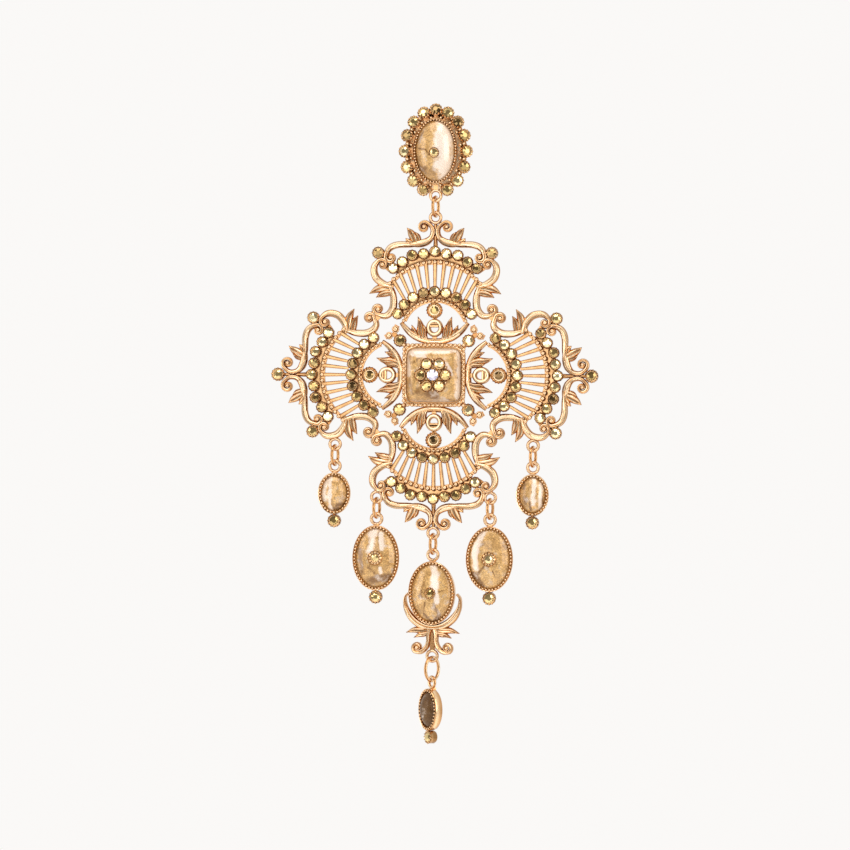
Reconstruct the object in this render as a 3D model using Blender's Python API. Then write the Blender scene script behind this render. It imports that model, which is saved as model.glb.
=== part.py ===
"""Chandelier earring: an oval stud, a pierced cross of four equal arms, and hanging oval drops.

The earring faces -Y and hangs down along -Z. The origin is the root of the ear post on the back
of the stud. Flat work is drawn in a face frame (u to the right, v up or outward, d forward) and
placed in the world by a matrix. Path tables hold shares of the length that they follow.
"""
import math

import bmesh
import bpy
from mathutils import Matrix, Vector

MM = 0.001

# Clearances between pieces
SEAT = 0.12 * MM
LINK_GAP = 0.1 * MM
BED_EDGE = 0.2 * MM

# Wire loops and jump rings
WIRE_R = 0.28 * MM
LOOP_R = 0.9 * MM
LOOP_SIDES = 8
RING_SIDES = 10
WIRE_SIDES = 5
RING_STEP = 3.75 * MM
TAIL_RING_STEP = 4.5 * MM
LOOP_TIE_FRONT = 0.22 * MM

# Depths of the pendant casting, measured forward from its middle plane
PLANE_BACK = 0.8 * MM
CAST_BACK = 0.6 * MM
BED_FRONT = 0.05 * MM
SCROLL_FRONT = 0.62 * MM
RAIL_FRONT = 0.8 * MM
BAR_FRONT = 0.4 * MM
CUP_RIM = 1.0 * MM
CUP_FLOOR = 0.1 * MM
CUP_SEAT_SHARE = 0.5

# Set stones
STONE_CROWN = 0.55 * MM
STONE_SIDES = 8
ROUND_SIDES = 8
RAIL_PARTS = 8
BED_PARTS = 5
TABLE_SHARE = 0.55

# Stud
STUD_BEZEL_HALF_W = 3.8 * MM
STUD_BEZEL_HALF_H = 5.6 * MM
STUD_WALL = 0.4 * MM
STUD_PLATE_T = 0.9 * MM
STUD_POCKET_FLOOR = 0.9 * MM
STUD_RIM = 1.7 * MM
STUD_DOME = 1.5 * MM
STUD_OVAL_SIDES = 16
HALO_CUP_R = 1.1 * MM
HALO_PLACES = 16
HALO_HEIGHT = 1.25 * MM
HALO_ROOT = 0.54 * MM
HALO_TILT = math.radians(20.0)
STUD_COLLAR_R = 0.92 * MM
STUD_LOOP_DROP = 0.7 * MM
POST_R = 0.42 * MM
POST_LENGTH = 11.0 * MM
POST_SIDES = 10
POST_ROOT = 0.2 * MM
POST_TIP_SHARE = 0.45

# Cross
CROSS_REACH = 26.9 * MM
SCROLL_W = 0.82 * MM
VOLUTE_R = 0.76 * MM
RAIL_W = 0.7 * MM
OUTER_RAIL_R = 9.85 * MM
OUTER_RAIL_SPAN = math.radians(51.0)
INNER_RAIL_R = 5.6 * MM
INNER_RAIL_SPAN = math.radians(68.0)
BAR_W = 0.7 * MM
BAR_COUNT = 11
FAN_INNER_SPAN = math.radians(42.0)
FAN_OUTER_SPAN = math.radians(46.5)
BAR_START_SHARE = 0.75
BAR_END_SHARE = 1.1
ROW_STONE_R = 1.0 * MM
ROW_STONES = 9
ROW_FOOT_SHARE = 1.08
ROW_PITCH_SHARE = 0.97
ROW_TABLE = 1.5 * MM
LENS_CUP_R = 1.45 * MM
PALMETTE_RING_R = 1.15 * MM
PALMETTE_RING_W = 0.55 * MM
DIAGONAL_CUP_R = 1.15 * MM
CORNER_CUP_R = 1.12 * MM
TIP_CUP_R = 1.2 * MM
KNOB_PAIR_R = 0.55 * MM

# Square centre
SQUARE_HALF = 5.4 * MM
SQUARE_WALL = 0.55 * MM
SQUARE_RIM = 1.2 * MM
SQUARE_DOME = 1.3 * MM
SQUARE_SIDES = 16
SQUARE_CORNER_SHARE = 0.85
PILLOW_SHOULDER_SHARE = 0.9
PILLOW_SHOULDER_RISE = 0.55
PILLOW_TOP_SHARE = 0.72
FLOWER_R = 2.6 * MM
PETAL_R = 0.78 * MM
HEART_R = 1.0 * MM
PETALS = 6
FLOWER_SIDES = 12
FLOWER_BASE_SHARE = 0.9

# Oval drops
DROP_WALL = 0.4 * MM
DROP_RIM = 1.0 * MM
DROP_SIDES = 12
DROP_DOME = 0.9 * MM
DROP_FOOT_SHARE = 0.96
DROP_NECK = 0.15 * MM
SMALL_HALF_W = 2.8 * MM
SMALL_HALF_H = 3.6 * MM
MIDDLE_HALF_W = 4.04 * MM
MIDDLE_HALF_H = 5.6 * MM
CENTRE_HALF_W = 4.1 * MM
CENTRE_HALF_H = 5.45 * MM
DROP_COLLAR_R = 1.05 * MM
END_CUP_R = 1.2 * MM
END_CUP_SINK = 0.12 * MM

# Small stones in a collar, set into the top of a cabochon
COLLAR_SEAT = 0.7 * MM
COLLAR_RISE = 0.35 * MM
COLLAR_STONE_RISE = 0.8 * MM
COLLAR_STONE_SHARE = 0.85
COLLAR_TABLE_SHARE = 0.45

# Dome of an oval cabochon: size as a share of its girdle, height as a share of its rise
DOME = (
    # size, height
    (0.86, 0.50),
    (0.58, 0.87),
)
DOME_TOP_SHARE = 0.22

# Turns of the hanging drops about the vertical, as the photo shows them
CENTRE_TURN = math.radians(-9.0)
TAIL_RING_TURN = math.radians(-27.0)
TAIL_TURN = math.radians(-52.0)

# Crest or top of each swept band, strut, bed and boss, as a share of its foot
CREST_SHARE = 0.5
TIE_CREST_SHARE = 0.8
BED_CREST_SHARE = 0.9
BOSS_TOP_SHARE = 0.6

# Finish of each kind of piece: base colour, metallic, roughness
FINISHES = {
    "gold": ((0.86, 0.62, 0.40, 1.0), 1.0, 0.28),
    "stone": ((0.62, 0.52, 0.27, 1.0), 0.9, 0.12),
    "cabochon": ((0.72, 0.52, 0.28, 1.0), 0.2, 0.15),
    "clear": ((0.80, 0.78, 0.86, 1.0), 0.0, 0.05),
}

# Paths of one side of an arm, as shares of the cross's reach, and their width shares
FINIAL_CURVE = (
    # u, v, width
    (0.086, 0.956, 0.6),
    (0.050, 0.965, 0.8),
    (0.018, 0.925, 0.9),
    (0.021, 0.877, 0.95),
    (0.052, 0.848, 1.15),
    (0.100, 0.837, 1.25),
    (0.150, 0.833, 0.9),
)
TOP_SCROLL = (
    (0.140, 0.833, 0.8),
    (0.236, 0.833, 1.0),
    (0.283, 0.814, 1.0),
    (0.308, 0.788, 0.95),
    (0.312, 0.756, 0.8),
    (0.284, 0.747, 0.6),
)
SIDE_SCROLL = (
    (0.336, 0.702, 0.6),
    (0.366, 0.716, 0.85),
    (0.388, 0.691, 1.0),
    (0.392, 0.654, 1.05),
    (0.375, 0.613, 1.05),
    (0.338, 0.583, 1.0),
    (0.283, 0.569, 0.8),
)
INNER_SCROLL = (
    (0.283, 0.572, 0.75),
    (0.265, 0.515, 0.95),
    (0.264, 0.440, 1.05),
    (0.287, 0.394, 1.05),
    (0.323, 0.374, 1.0),
    (0.357, 0.383, 0.85),
    (0.361, 0.417, 0.6),
)
BOWL = (
    (0.198, 0.348, 0.8),
    (0.170, 0.295, 1.0),
    (0.119, 0.244, 1.0),
    (0.060, 0.221, 0.95),
    (0.000, 0.214, 0.9),
)
SPRAYS = (
    # outline of each leaf spray from one end of its base, past its three tips, to the other end
    ((0.098, 0.832), (0.129, 0.903), (0.138, 0.870), (0.149, 0.898), (0.181, 0.932),
     (0.175, 0.886), (0.162, 0.858), (0.189, 0.868), (0.158, 0.832)),
    ((0.281, 0.568), (0.330, 0.573), (0.376, 0.560), (0.346, 0.547), (0.420, 0.518),
     (0.347, 0.516), (0.376, 0.496), (0.322, 0.503), (0.268, 0.541)),
    ((0.046, 0.222), (0.056, 0.275), (0.078, 0.326), (0.085, 0.296), (0.108, 0.371),
     (0.121, 0.291), (0.147, 0.321), (0.137, 0.272), (0.104, 0.236)),
)
SPRAY_TOP_SHARE = 0.6
VOLUTES = (
    # u, v, radius as a share of the volute radius
    (0.073, 0.939, 0.95),
    (0.284, 0.747, 1.0),
    (0.336, 0.702, 0.82),
    (0.361, 0.417, 1.08),
)
INNER_SCROLL_TOUCH = (0.268, 0.424)
CORNER_PLACE = (0.362, 0.775)
CORNER_TIE_START = (0.310, 0.725)
HANGER_PLACE = (0.442, 0.632)
HANGER_TIE_START = (0.391, 0.640)
SCROLL_TIE = ((0.349, 0.380), (0.380, 0.349))
DIAGONAL_PLACE = (0.219, 0.219)
KNOB_PAIR_PLACE = (0.270, 0.270)
KNOB_PAIR_STEP = 0.020
LENS_PLACE = 0.412
PALMETTE_PLACE = 0.300
FAN_CENTRE = 0.348
INNER_CENTRE = 0.265
ROW_RISES = (0.0, 0.0, 0.35, 0.1, 0.35, 0.1, 0.35, 0.0, 0.0)

# Centre drop's lower ornament, as shares of its oval's half height, from the oval's centre
CRESCENT = (
    # u, v, width
    (0.835, -0.180, 0.6),
    (0.915, -0.385, 0.9),
    (0.840, -0.660, 1.1),
    (0.600, -0.930, 1.2),
    (0.290, -1.070, 1.2),
    (0.000, -1.100, 1.2),
)
DROP_STEM = (
    (0.06, -1.10, 0.9),
    (0.13, -1.40, 0.9),
    (0.13, -1.60, 0.9),
    (0.25, -1.80, 0.95),
    (0.45, -1.88, 0.85),
    (0.62, -1.76, 0.6),
    (0.48, -1.71, 0.5),
)
DROP_SPRAY = ((0.05, -1.02), (0.45, -1.08), (0.84, -1.23), (0.50, -1.25), (0.56, -1.36), (0.05, -1.22))
DROP_VOLUTE = (0.48, -1.72, 0.9)
DROP_LOOP_PLACE = -1.97


def clear_scene():
    for thing in list(bpy.data.objects):
        bpy.data.objects.remove(thing, do_unlink=True)


def finish_material(kind):
    """The shared Principled material of one kind of piece."""
    name = kind + "_finish"
    if name in bpy.data.materials:
        return bpy.data.materials[name]
    colour, metallic, roughness = FINISHES[kind]
    material = bpy.data.materials.new(name)
    material.use_nodes = True
    shader = material.node_tree.nodes["Principled BSDF"]
    shader.inputs["Base Color"].default_value = colour
    shader.inputs["Metallic"].default_value = metallic
    shader.inputs["Roughness"].default_value = roughness
    material.diffuse_color = colour
    return material


def face_frame(x, z, spin=0.0, turn=0.0):
    """Matrix from (u, v, d) to the world, with v spun clockwise by spin and the face turned."""
    to_world = Matrix(((1, 0, 0, 0), (0, 0, -1, 0), (0, 1, 0, 0), (0, 0, 0, 1)))
    place = Matrix.Translation((x, -PLANE_BACK, z))
    return place @ Matrix.Rotation(turn, 4, "Z") @ Matrix.Rotation(spin, 4, "Y") @ to_world


def loft(shells, rings, closed=False):
    """Skin a row of equal rings of points into one closed shell, and add it to the list."""
    mesh = bmesh.new()
    rows = [[mesh.verts.new(point) for point in ring] for ring in rings]
    count = len(rows[0])
    pairs = list(zip(rows, rows[1:]))
    if closed:
        pairs.append((rows[-1], rows[0]))
    for low, high in pairs:
        for i in range(count):
            j = (i + 1) % count
            mesh.faces.new((low[i], low[j], high[j], high[i]))
    if not closed:
        mesh.faces.new(list(reversed(rows[0])))
        mesh.faces.new(rows[-1])
    bmesh.ops.recalc_face_normals(mesh, faces=mesh.faces)
    data = bpy.data.meshes.new("shell")
    mesh.to_mesh(data)
    mesh.free()
    shells.append(data)


def oval(half_u, half_v, d, sides, centre=(0.0, 0.0), phase=0.0):
    """Points of an oval ring at depth d."""
    ring = []
    for i in range(sides):
        angle = 2.0 * math.pi * (i + phase) / sides
        ring.append(Vector((centre[0] + half_u * math.sin(angle),
                            centre[1] + half_v * math.cos(angle), d)))
    return ring


def squarish(half, d):
    """Points of a square ring with rounded corners."""
    ring = []
    for i in range(SQUARE_SIDES):
        angle = 2.0 * math.pi * i / SQUARE_SIDES
        s, c = math.sin(angle), math.cos(angle)
        reach = half / (abs(s) ** 7 + abs(c) ** 7) ** (1.0 / 7.0)
        ring.append(Vector((reach * s, reach * c, d)))
    return ring


def band(shells, stations, width, front, back=-CAST_BACK, closed=False, crest=CREST_SHARE):
    """Sweep a bar with a flat back and a narrower crest along (u, v, width share) stations."""
    rings = []
    last = len(stations) - 1
    for i, here in enumerate(stations):
        before = stations[i - 1] if closed else stations[max(i - 1, 0)]
        after = stations[(i + 1) % len(stations)] if closed else stations[min(i + 1, last)]
        along = Vector((after[0] - before[0], after[1] - before[1])).normalized()
        side = Vector((-along.y, along.x)) * (width * here[2] / 2)
        middle = Vector((here[0], here[1]))
        corners = [(-1, back), (1, back), (crest, front)]
        if crest:
            corners.append((-crest, front))
        ring = []
        for share, d in corners:
            point = middle + side * share
            ring.append(Vector((point.x, point.y, d)))
        rings.append(ring)
    loft(shells, rings, closed)


def spray(shells, outline):
    """A spray of leaves: an outline that narrows from the flat back towards its root."""
    root = (Vector(outline[0]) + Vector(outline[-1])) / 2
    low = [Vector((u, v, -CAST_BACK)) for u, v in outline]
    high = []
    for place in outline:
        point = root + (Vector(place) - root) * SPRAY_TOP_SHARE
        high.append(Vector((point.x, point.y, SCROLL_FRONT)))
    loft(shells, [low, high])


def boss(shells, u, v, radius, front, back=-CAST_BACK, sides=STONE_SIDES):
    """A round knob that narrows from its flat back to its top."""
    top = radius * BOSS_TOP_SHARE
    loft(shells, [oval(radius, radius, back, sides, (u, v)), oval(top, top, front, sides, (u, v))])


def cup(shells, u, v, radius, back=-CAST_BACK):
    """An open collar for one round stone, with a closed floor."""
    seat = radius * CUP_SEAT_SHARE
    loft(shells, [oval(radius, radius, back, ROUND_SIDES, (u, v)),
                oval(radius, radius, CUP_RIM, ROUND_SIDES, (u, v)),
                oval(seat, seat, CUP_FLOOR, ROUND_SIDES, (u, v))])


def torus(shells, radius, wire, place, sides):
    """A round wire ring in the plane of the first two axes of place."""
    rings = []
    for i in range(sides):
        angle = 2.0 * math.pi * i / sides
        out = Vector((math.sin(angle), math.cos(angle), 0.0))
        ring = []
        for k in range(WIRE_SIDES):
            around = 2.0 * math.pi * k / WIRE_SIDES
            ring.append(place @ (out * (radius + wire * math.cos(around))
                                 + Vector((0.0, 0.0, wire * math.sin(around)))))
        rings.append(ring)
    loft(shells, rings, closed=True)


def loop(shells, u, v):
    """A face-on hanging loop."""
    torus(shells, LOOP_R, WIRE_R, Matrix.Translation((u, v, 0.0)), LOOP_SIDES)


def boolean(base, others, operation):
    """Join or cut one mesh by a list of others with the exact solver, and give the new mesh."""
    scene = bpy.context.scene
    operands = bpy.data.collections.new("operands")
    scene.collection.children.link(operands)
    left = bpy.data.objects.new("base", base)
    scene.collection.objects.link(left)
    for data in others:
        operands.objects.link(bpy.data.objects.new("operand", data))
    step = left.modifiers.new("Boolean", "BOOLEAN")
    step.operation = operation
    step.solver = "EXACT"
    step.operand_type = "COLLECTION"
    step.collection = operands
    view = bpy.context.evaluated_depsgraph_get()
    view.update()
    result = bpy.data.meshes.new_from_object(left.evaluated_get(view))
    for thing in [left] + list(operands.objects):
        bpy.data.objects.remove(thing, do_unlink=True)
    bpy.data.collections.remove(operands)
    return result


def fuse(shells):
    """Union of a list of overlapping shells."""
    return boolean(shells[0], shells[1:], "UNION")


def place_copies(shells, meshes, matrix):
    """Add copies of meshes, moved by a matrix, to a list of shells."""
    for data in meshes:
        copy = data.copy()
        copy.transform(matrix)
        shells.append(copy)


def add_piece(name, data, kind, matrix=None):
    """Make the named object of a piece, with its finish, in the world."""
    data.name = name
    if matrix is not None:
        data.transform(matrix)
    data.materials.clear()
    data.materials.append(finish_material(kind))
    data.shade_smooth()
    data.set_sharp_from_angle(angle=math.radians(35.0))
    piece = bpy.data.objects.new(name, data)
    bpy.context.scene.collection.objects.link(piece)
    return piece


def on_reach(point):
    return tuple(value * CROSS_REACH for value in point)


def scaled(rows, length, mirror):
    """Path rows with their places scaled by a length, and u mirrored if asked."""
    return [(mirror * u * length, v * length, width) for u, v, width in rows]


def arc_stations(centre_v, radius, span, count):
    """Stations along an arc about (0, centre_v), symmetric about the v axis."""
    rows = []
    for i in range(count + 1):
        angle = span * (2.0 * i / count - 1.0)
        rows.append((radius * math.sin(angle), centre_v + radius * math.cos(angle), 1.0))
    return rows


def row_places(centre_v, rail_radius, rises):
    """Centres of the nine stones of a row, which lies just outside its rail."""
    radius = rail_radius + RAIL_W / 2 + SEAT + ROW_STONE_R * ROW_FOOT_SHARE
    pitch = 2.0 * math.asin(ROW_STONE_R * ROW_PITCH_SHARE / radius)
    places = []
    for i, rise in enumerate(rises):
        angle = pitch * (i - (ROW_STONES - 1) / 2)
        reach = radius + rise * ROW_STONE_R
        places.append((reach * math.sin(angle), centre_v + reach * math.cos(angle)))
    return places


OUTER_ROW = row_places(FAN_CENTRE * CROSS_REACH, OUTER_RAIL_R, ROW_RISES)
INNER_ROW = row_places(INNER_CENTRE * CROSS_REACH, INNER_RAIL_R, (0.0,) * ROW_STONES)
ROW_BED_W = 2.0 * (ROW_STONE_R + SEAT + BED_EDGE)


def tie(shells, start, end, width, front=BED_FRONT):
    """A flat strut between two places."""
    band(shells, [(*start, 1.0), (*end, 1.0)], width, front, crest=TIE_CREST_SHARE)


def tie_to_ring(shells, start, centre, radius, width):
    """A strut that ends on a ring's wire, so that the ring's hole stays open."""
    way = Vector(centre) - Vector(start)
    end = Vector(centre) - way.normalized() * radius
    tie(shells, start, tuple(end), width, LOOP_TIE_FRONT)


def arm_ties():
    """Flat struts of one side of an arm, behind the stones, which join neighbouring work."""
    knobs = [on_reach(volute[:2]) for volute in VOLUTES]
    return ((knobs[1], knobs[2]),
            (OUTER_ROW[-1], knobs[2]),
            (INNER_ROW[-2], on_reach(INNER_SCROLL_TOUCH)),
            (INNER_ROW[-1], on_reach(KNOB_PAIR_PLACE)))


def arm_tracery(shells):
    """The scrolls, leaves, rails, bars and palmette that all four arms share."""
    fan_v = FAN_CENTRE * CROSS_REACH
    inner_v = INNER_CENTRE * CROSS_REACH
    for mirror in (-1, 1):
        for path in (FINIAL_CURVE, TOP_SCROLL, SIDE_SCROLL, INNER_SCROLL):
            band(shells, scaled(path, CROSS_REACH, mirror), SCROLL_W, SCROLL_FRONT, crest=0)
        for outline in SPRAYS:
            spray(shells, [(mirror * u * CROSS_REACH, v * CROSS_REACH) for u, v in outline])
        for u, v, share in VOLUTES:
            boss(shells, mirror * u * CROSS_REACH, v * CROSS_REACH, VOLUTE_R * share, RAIL_FRONT)
        for start, end in arm_ties():
            tie(shells, (mirror * start[0], start[1]), (mirror * end[0], end[1]), SCROLL_W)
    bowl = scaled(BOWL, CROSS_REACH, -1) + list(reversed(scaled(BOWL, CROSS_REACH, 1)))[1:]
    band(shells, bowl, SCROLL_W, SCROLL_FRONT, crest=0)
    band(shells, arc_stations(fan_v, OUTER_RAIL_R, OUTER_RAIL_SPAN, RAIL_PARTS), RAIL_W, RAIL_FRONT)
    band(shells, arc_stations(inner_v, INNER_RAIL_R, INNER_RAIL_SPAN, RAIL_PARTS), RAIL_W, RAIL_FRONT)
    for centre, rail_r, places in ((fan_v, OUTER_RAIL_R, OUTER_ROW), (inner_v, INNER_RAIL_R, INNER_ROW)):
        span = math.atan2(places[-1][0], places[-1][1] - centre)
        band(shells, arc_stations(centre, rail_r + ROW_BED_W / 2, span, BED_PARTS), ROW_BED_W, BED_FRONT,
             crest=BED_CREST_SHARE)
    row_r = INNER_RAIL_R + RAIL_W / 2 + 2.0 * (ROW_STONE_R * ROW_FOOT_SHARE + SEAT)
    for k in range(BAR_COUNT):
        share = 2.0 * k / (BAR_COUNT - 1) - 1.0
        inner_angle = share * FAN_INNER_SPAN
        outer_angle = share * FAN_OUTER_SPAN
        start = (row_r * math.sin(inner_angle), inner_v + row_r * math.cos(inner_angle), BAR_START_SHARE)
        end = (OUTER_RAIL_R * math.sin(outer_angle), fan_v + OUTER_RAIL_R * math.cos(outer_angle),
               BAR_END_SHARE)
        band(shells, [start, end], BAR_W, BAR_FRONT, crest=0)
    lens_v = LENS_PLACE * CROSS_REACH
    ring_v = PALMETTE_PLACE * CROSS_REACH
    ring = [(u, v, 1.0) for u, v, d in oval(PALMETTE_RING_R, PALMETTE_RING_R, 0, 10, (0.0, ring_v))]
    band(shells, ring, PALMETTE_RING_W, SCROLL_FRONT, closed=True, crest=0)
    tie(shells, (-PALMETTE_RING_R, ring_v), (PALMETTE_RING_R, ring_v), PALMETTE_RING_W, BAR_FRONT)
    tie(shells, (0.0, BOWL[-1][1] * CROSS_REACH), (0.0, ring_v - PALMETTE_RING_R), SCROLL_W)
    tie(shells, (0.0, ring_v + PALMETTE_RING_R), (0.0, inner_v + INNER_RAIL_R), SCROLL_W)
    cup(shells, 0.0, lens_v, LENS_CUP_R)


def arm_ends(shells, loops_at_corners, loop_at_tip, hangers):
    """What differs from arm to arm: cups or loops at the corners and the tip, and the hangers."""
    tip = (0.0, CROSS_REACH)
    stem_start = (0.0, OUTER_ROW[ROW_STONES // 2][1] + ROW_STONE_R)
    if loop_at_tip:
        loop(shells, *tip)
        tie_to_ring(shells, stem_start, tip, LOOP_R, SCROLL_W)
    else:
        cup(shells, *tip, TIP_CUP_R)
        tie(shells, stem_start, tip, SCROLL_W)
    for mirror in (-1, 1):
        place = (mirror * CORNER_PLACE[0] * CROSS_REACH, CORNER_PLACE[1] * CROSS_REACH)
        start = (mirror * CORNER_TIE_START[0] * CROSS_REACH, CORNER_TIE_START[1] * CROSS_REACH)
        if loops_at_corners:
            loop(shells, *place)
            tie_to_ring(shells, start, place, LOOP_R, SCROLL_W)
        else:
            cup(shells, *place, CORNER_CUP_R)
            tie(shells, start, place, SCROLL_W)
        if mirror in hangers:
            place = (mirror * HANGER_PLACE[0] * CROSS_REACH, HANGER_PLACE[1] * CROSS_REACH)
            start = (mirror * HANGER_TIE_START[0] * CROSS_REACH, HANGER_TIE_START[1] * CROSS_REACH)
            loop(shells, *place)
            tie_to_ring(shells, start, place, LOOP_R, SCROLL_W)


def quadrant_work(shells):
    """The diagonal cup and its knobs, between two arms, and the tie between their scrolls."""
    cup(shells, *on_reach(DIAGONAL_PLACE), DIAGONAL_CUP_R)
    u, v = on_reach(KNOB_PAIR_PLACE)
    step = KNOB_PAIR_STEP * CROSS_REACH
    boss(shells, u - step, v + step, KNOB_PAIR_R, RAIL_FRONT)
    boss(shells, u + step, v - step, KNOB_PAIR_R, RAIL_FRONT)
    corner = SQUARE_CORNER_SHARE * SQUARE_HALF
    tie(shells, (corner, corner), (u, v), SCROLL_W)
    tie(shells, on_reach(SCROLL_TIE[0]), on_reach(SCROLL_TIE[1]), SCROLL_W, SCROLL_FRONT)


def square_bezel(shells):
    """The square setting in the middle: a wall round a pocket with a floor."""
    inner = SQUARE_HALF - SQUARE_WALL
    loft(shells, [squarish(SQUARE_HALF, -CAST_BACK),
                squarish(SQUARE_HALF, SQUARE_RIM),
                squarish(inner, SQUARE_RIM),
                squarish(inner, BED_FRONT)])


def row_clearance(shells):
    """Room for the rows of stones, cut out of whatever reaches over their beds."""
    low = BED_FRONT + SEAT / 2
    for u, v in OUTER_ROW + INNER_ROW:
        reach = ROW_STONE_R * ROW_FOOT_SHARE + SEAT
        loft(shells, [oval(reach, reach, low, STONE_SIDES, (u, v), 0.5),
                    oval(reach, reach, 2.0 * CUP_RIM, STONE_SIDES, (u, v), 0.5)])


# Name, clockwise turn, loops at the corners, loop at the tip, sides with a hanger loop
ARMS = (
    ("top", 0.0, False, True, ()),
    ("right", 90.0, False, False, (1,)),
    ("bottom", 180.0, True, True, ()),
    ("left", 270.0, False, False, (-1,)),
)


def cross_frame(matrix):
    """The whole pierced cross as one casting."""
    tracery = []
    arm_tracery(tracery)
    arm = fuse(tracery)
    cutters = []
    row_clearance(cutters)
    arm = boolean(arm, cutters, "DIFFERENCE")
    work = []
    square_bezel(work)
    for name, turn, corner_loops, tip_loop, hangers in ARMS:
        spin = Matrix.Rotation(-math.radians(turn), 4, "Z")
        ends = []
        arm_ends(ends, corner_loops, tip_loop, hangers)
        quadrant_work(ends)
        place_copies(work, ends + [arm], spin)
    add_piece("cross_frame", fuse(work), "gold", matrix)


def stone_row(name, matrix, places):
    """A row of nine set stones, fused at their feet into one body."""
    row = []
    back = BED_FRONT + SEAT
    foot = ROW_STONE_R * ROW_FOOT_SHARE
    table = ROW_STONE_R * TABLE_SHARE
    for u, v in places:
        loft(row, [oval(foot, foot, back, STONE_SIDES, (u, v), 0.5),
                   oval(table, table, ROW_TABLE, STONE_SIDES, (u, v), 0.5)])
    add_piece(name, fuse(row), "stone", matrix)


def seated_stone(name, matrix, place, cup_radius):
    """A round stone that sits in a cup's cone with the seat clearance."""
    radius = cup_radius - 2.0 * SEAT
    seat = cup_radius * CUP_SEAT_SHARE - SEAT
    table = radius * TABLE_SHARE
    shell = []
    loft(shell, [oval(seat, seat, CUP_FLOOR + SEAT, STONE_SIDES, place),
                 oval(radius, radius, CUP_RIM, STONE_SIDES, place),
                 oval(table, table, CUP_RIM + STONE_CROWN, STONE_SIDES, place)])
    add_piece(name, shell[0], "stone", matrix)


def cross_stones(centre):
    """The rows and the single stones of the cross."""
    for name, turn, corner_loops, tip_loop, hangers in ARMS:
        matrix = face_frame(*centre, spin=math.radians(turn))
        stone_row(name + "_outer_stones", matrix, OUTER_ROW)
        stone_row(name + "_inner_stones", matrix, INNER_ROW)
        seated_stone(name + "_lens_stone", matrix, (0.0, LENS_PLACE * CROSS_REACH), LENS_CUP_R)
        seated_stone(name + "_diagonal_stone", matrix, on_reach(DIAGONAL_PLACE), DIAGONAL_CUP_R)
        if not tip_loop:
            seated_stone(name + "_tip_stone", matrix, (0.0, CROSS_REACH), TIP_CUP_R)
        if not corner_loops:
            for side, mirror in (("first", -1), ("second", 1)):
                place = (mirror * CORNER_PLACE[0] * CROSS_REACH, CORNER_PLACE[1] * CROSS_REACH)
                seated_stone(name + "_" + side + "_corner_stone", matrix, place, CORNER_CUP_R)


def centre_stones(matrix):
    """The square pillow cabochon and the flower of stones set into its top."""
    half = SQUARE_HALF - SQUARE_WALL - SEAT
    top = SQUARE_RIM + SQUARE_DOME
    pocket = FLOWER_R + SEAT
    base = BED_FRONT + SEAT
    table = half * PILLOW_TOP_SHARE
    shell = []
    loft(shell, [squarish(half, base),
                 squarish(half, SQUARE_RIM),
                 squarish(half * PILLOW_SHOULDER_SHARE, SQUARE_RIM + SQUARE_DOME * PILLOW_SHOULDER_RISE),
                 oval(table, table, top, SQUARE_SIDES),
                 oval(pocket, pocket, top, SQUARE_SIDES),
                 oval(pocket, pocket, SQUARE_RIM, SQUARE_SIDES)])
    add_piece("centre_cabochon", shell[0], "cabochon", matrix)
    flower = []
    low = SQUARE_RIM + SEAT
    disc = FLOWER_R * FLOWER_BASE_SHARE
    loft(flower, [oval(disc, disc, low, FLOWER_SIDES),
                  oval(disc, disc, top, FLOWER_SIDES)])
    table = HEART_R * TABLE_SHARE
    loft(flower, [oval(HEART_R, HEART_R, low, STONE_SIDES, phase=0.5),
                  oval(HEART_R, HEART_R, top + STONE_CROWN, STONE_SIDES, phase=0.5),
                  oval(table, table, top + 2.0 * STONE_CROWN, STONE_SIDES, phase=0.5)])
    reach = FLOWER_R - PETAL_R
    for i in range(PETALS):
        angle = 2.0 * math.pi * (i + 0.5) / PETALS
        petal = (reach * math.sin(angle), reach * math.cos(angle))
        table = PETAL_R * TABLE_SHARE
        loft(flower, [oval(PETAL_R, PETAL_R, low, STONE_SIDES, petal),
                      oval(table, table, top + STONE_CROWN, STONE_SIDES, petal)])
    add_piece("centre_flower", fuse(flower), "clear", matrix)


def domed_oval(name, matrix, half_u, half_v, floor, rim, rise, hole=0.0, sides=DROP_SIDES):
    """A cabochon with a level girdle and a dome, with a round seat in its top for a stone."""
    rings = [oval(half_u, half_v, floor, sides),
             oval(half_u, half_v, rim, sides)]
    for size, height in DOME:
        rings.append(oval(half_u * size, half_v * size, rim + rise * height, sides))
    if hole:
        rings.append(oval(hole, hole, rim + rise, sides))
        rings.append(oval(hole, hole, rim + rise - COLLAR_SEAT, sides))
    else:
        rings.append(oval(half_u * DOME_TOP_SHARE, half_v * DOME_TOP_SHARE, rim + rise, sides))
    shell = []
    loft(shell, rings)
    add_piece(name, shell[0], "cabochon", matrix)


def collared_stone(name, matrix, radius, top):
    """A small stone in its collar, which stands in the seat of a cabochon."""
    shell = []
    low = top - COLLAR_SEAT + SEAT
    girdle = radius * COLLAR_STONE_SHARE
    table = radius * COLLAR_TABLE_SHARE
    loft(shell, [oval(radius, radius, low, ROUND_SIDES),
                 oval(radius, radius, top + COLLAR_RISE, ROUND_SIDES),
                 oval(girdle, girdle, top + COLLAR_RISE, ROUND_SIDES),
                 oval(table, table, top + COLLAR_STONE_RISE, ROUND_SIDES)])
    add_piece(name, shell[0], "stone", matrix)


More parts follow.
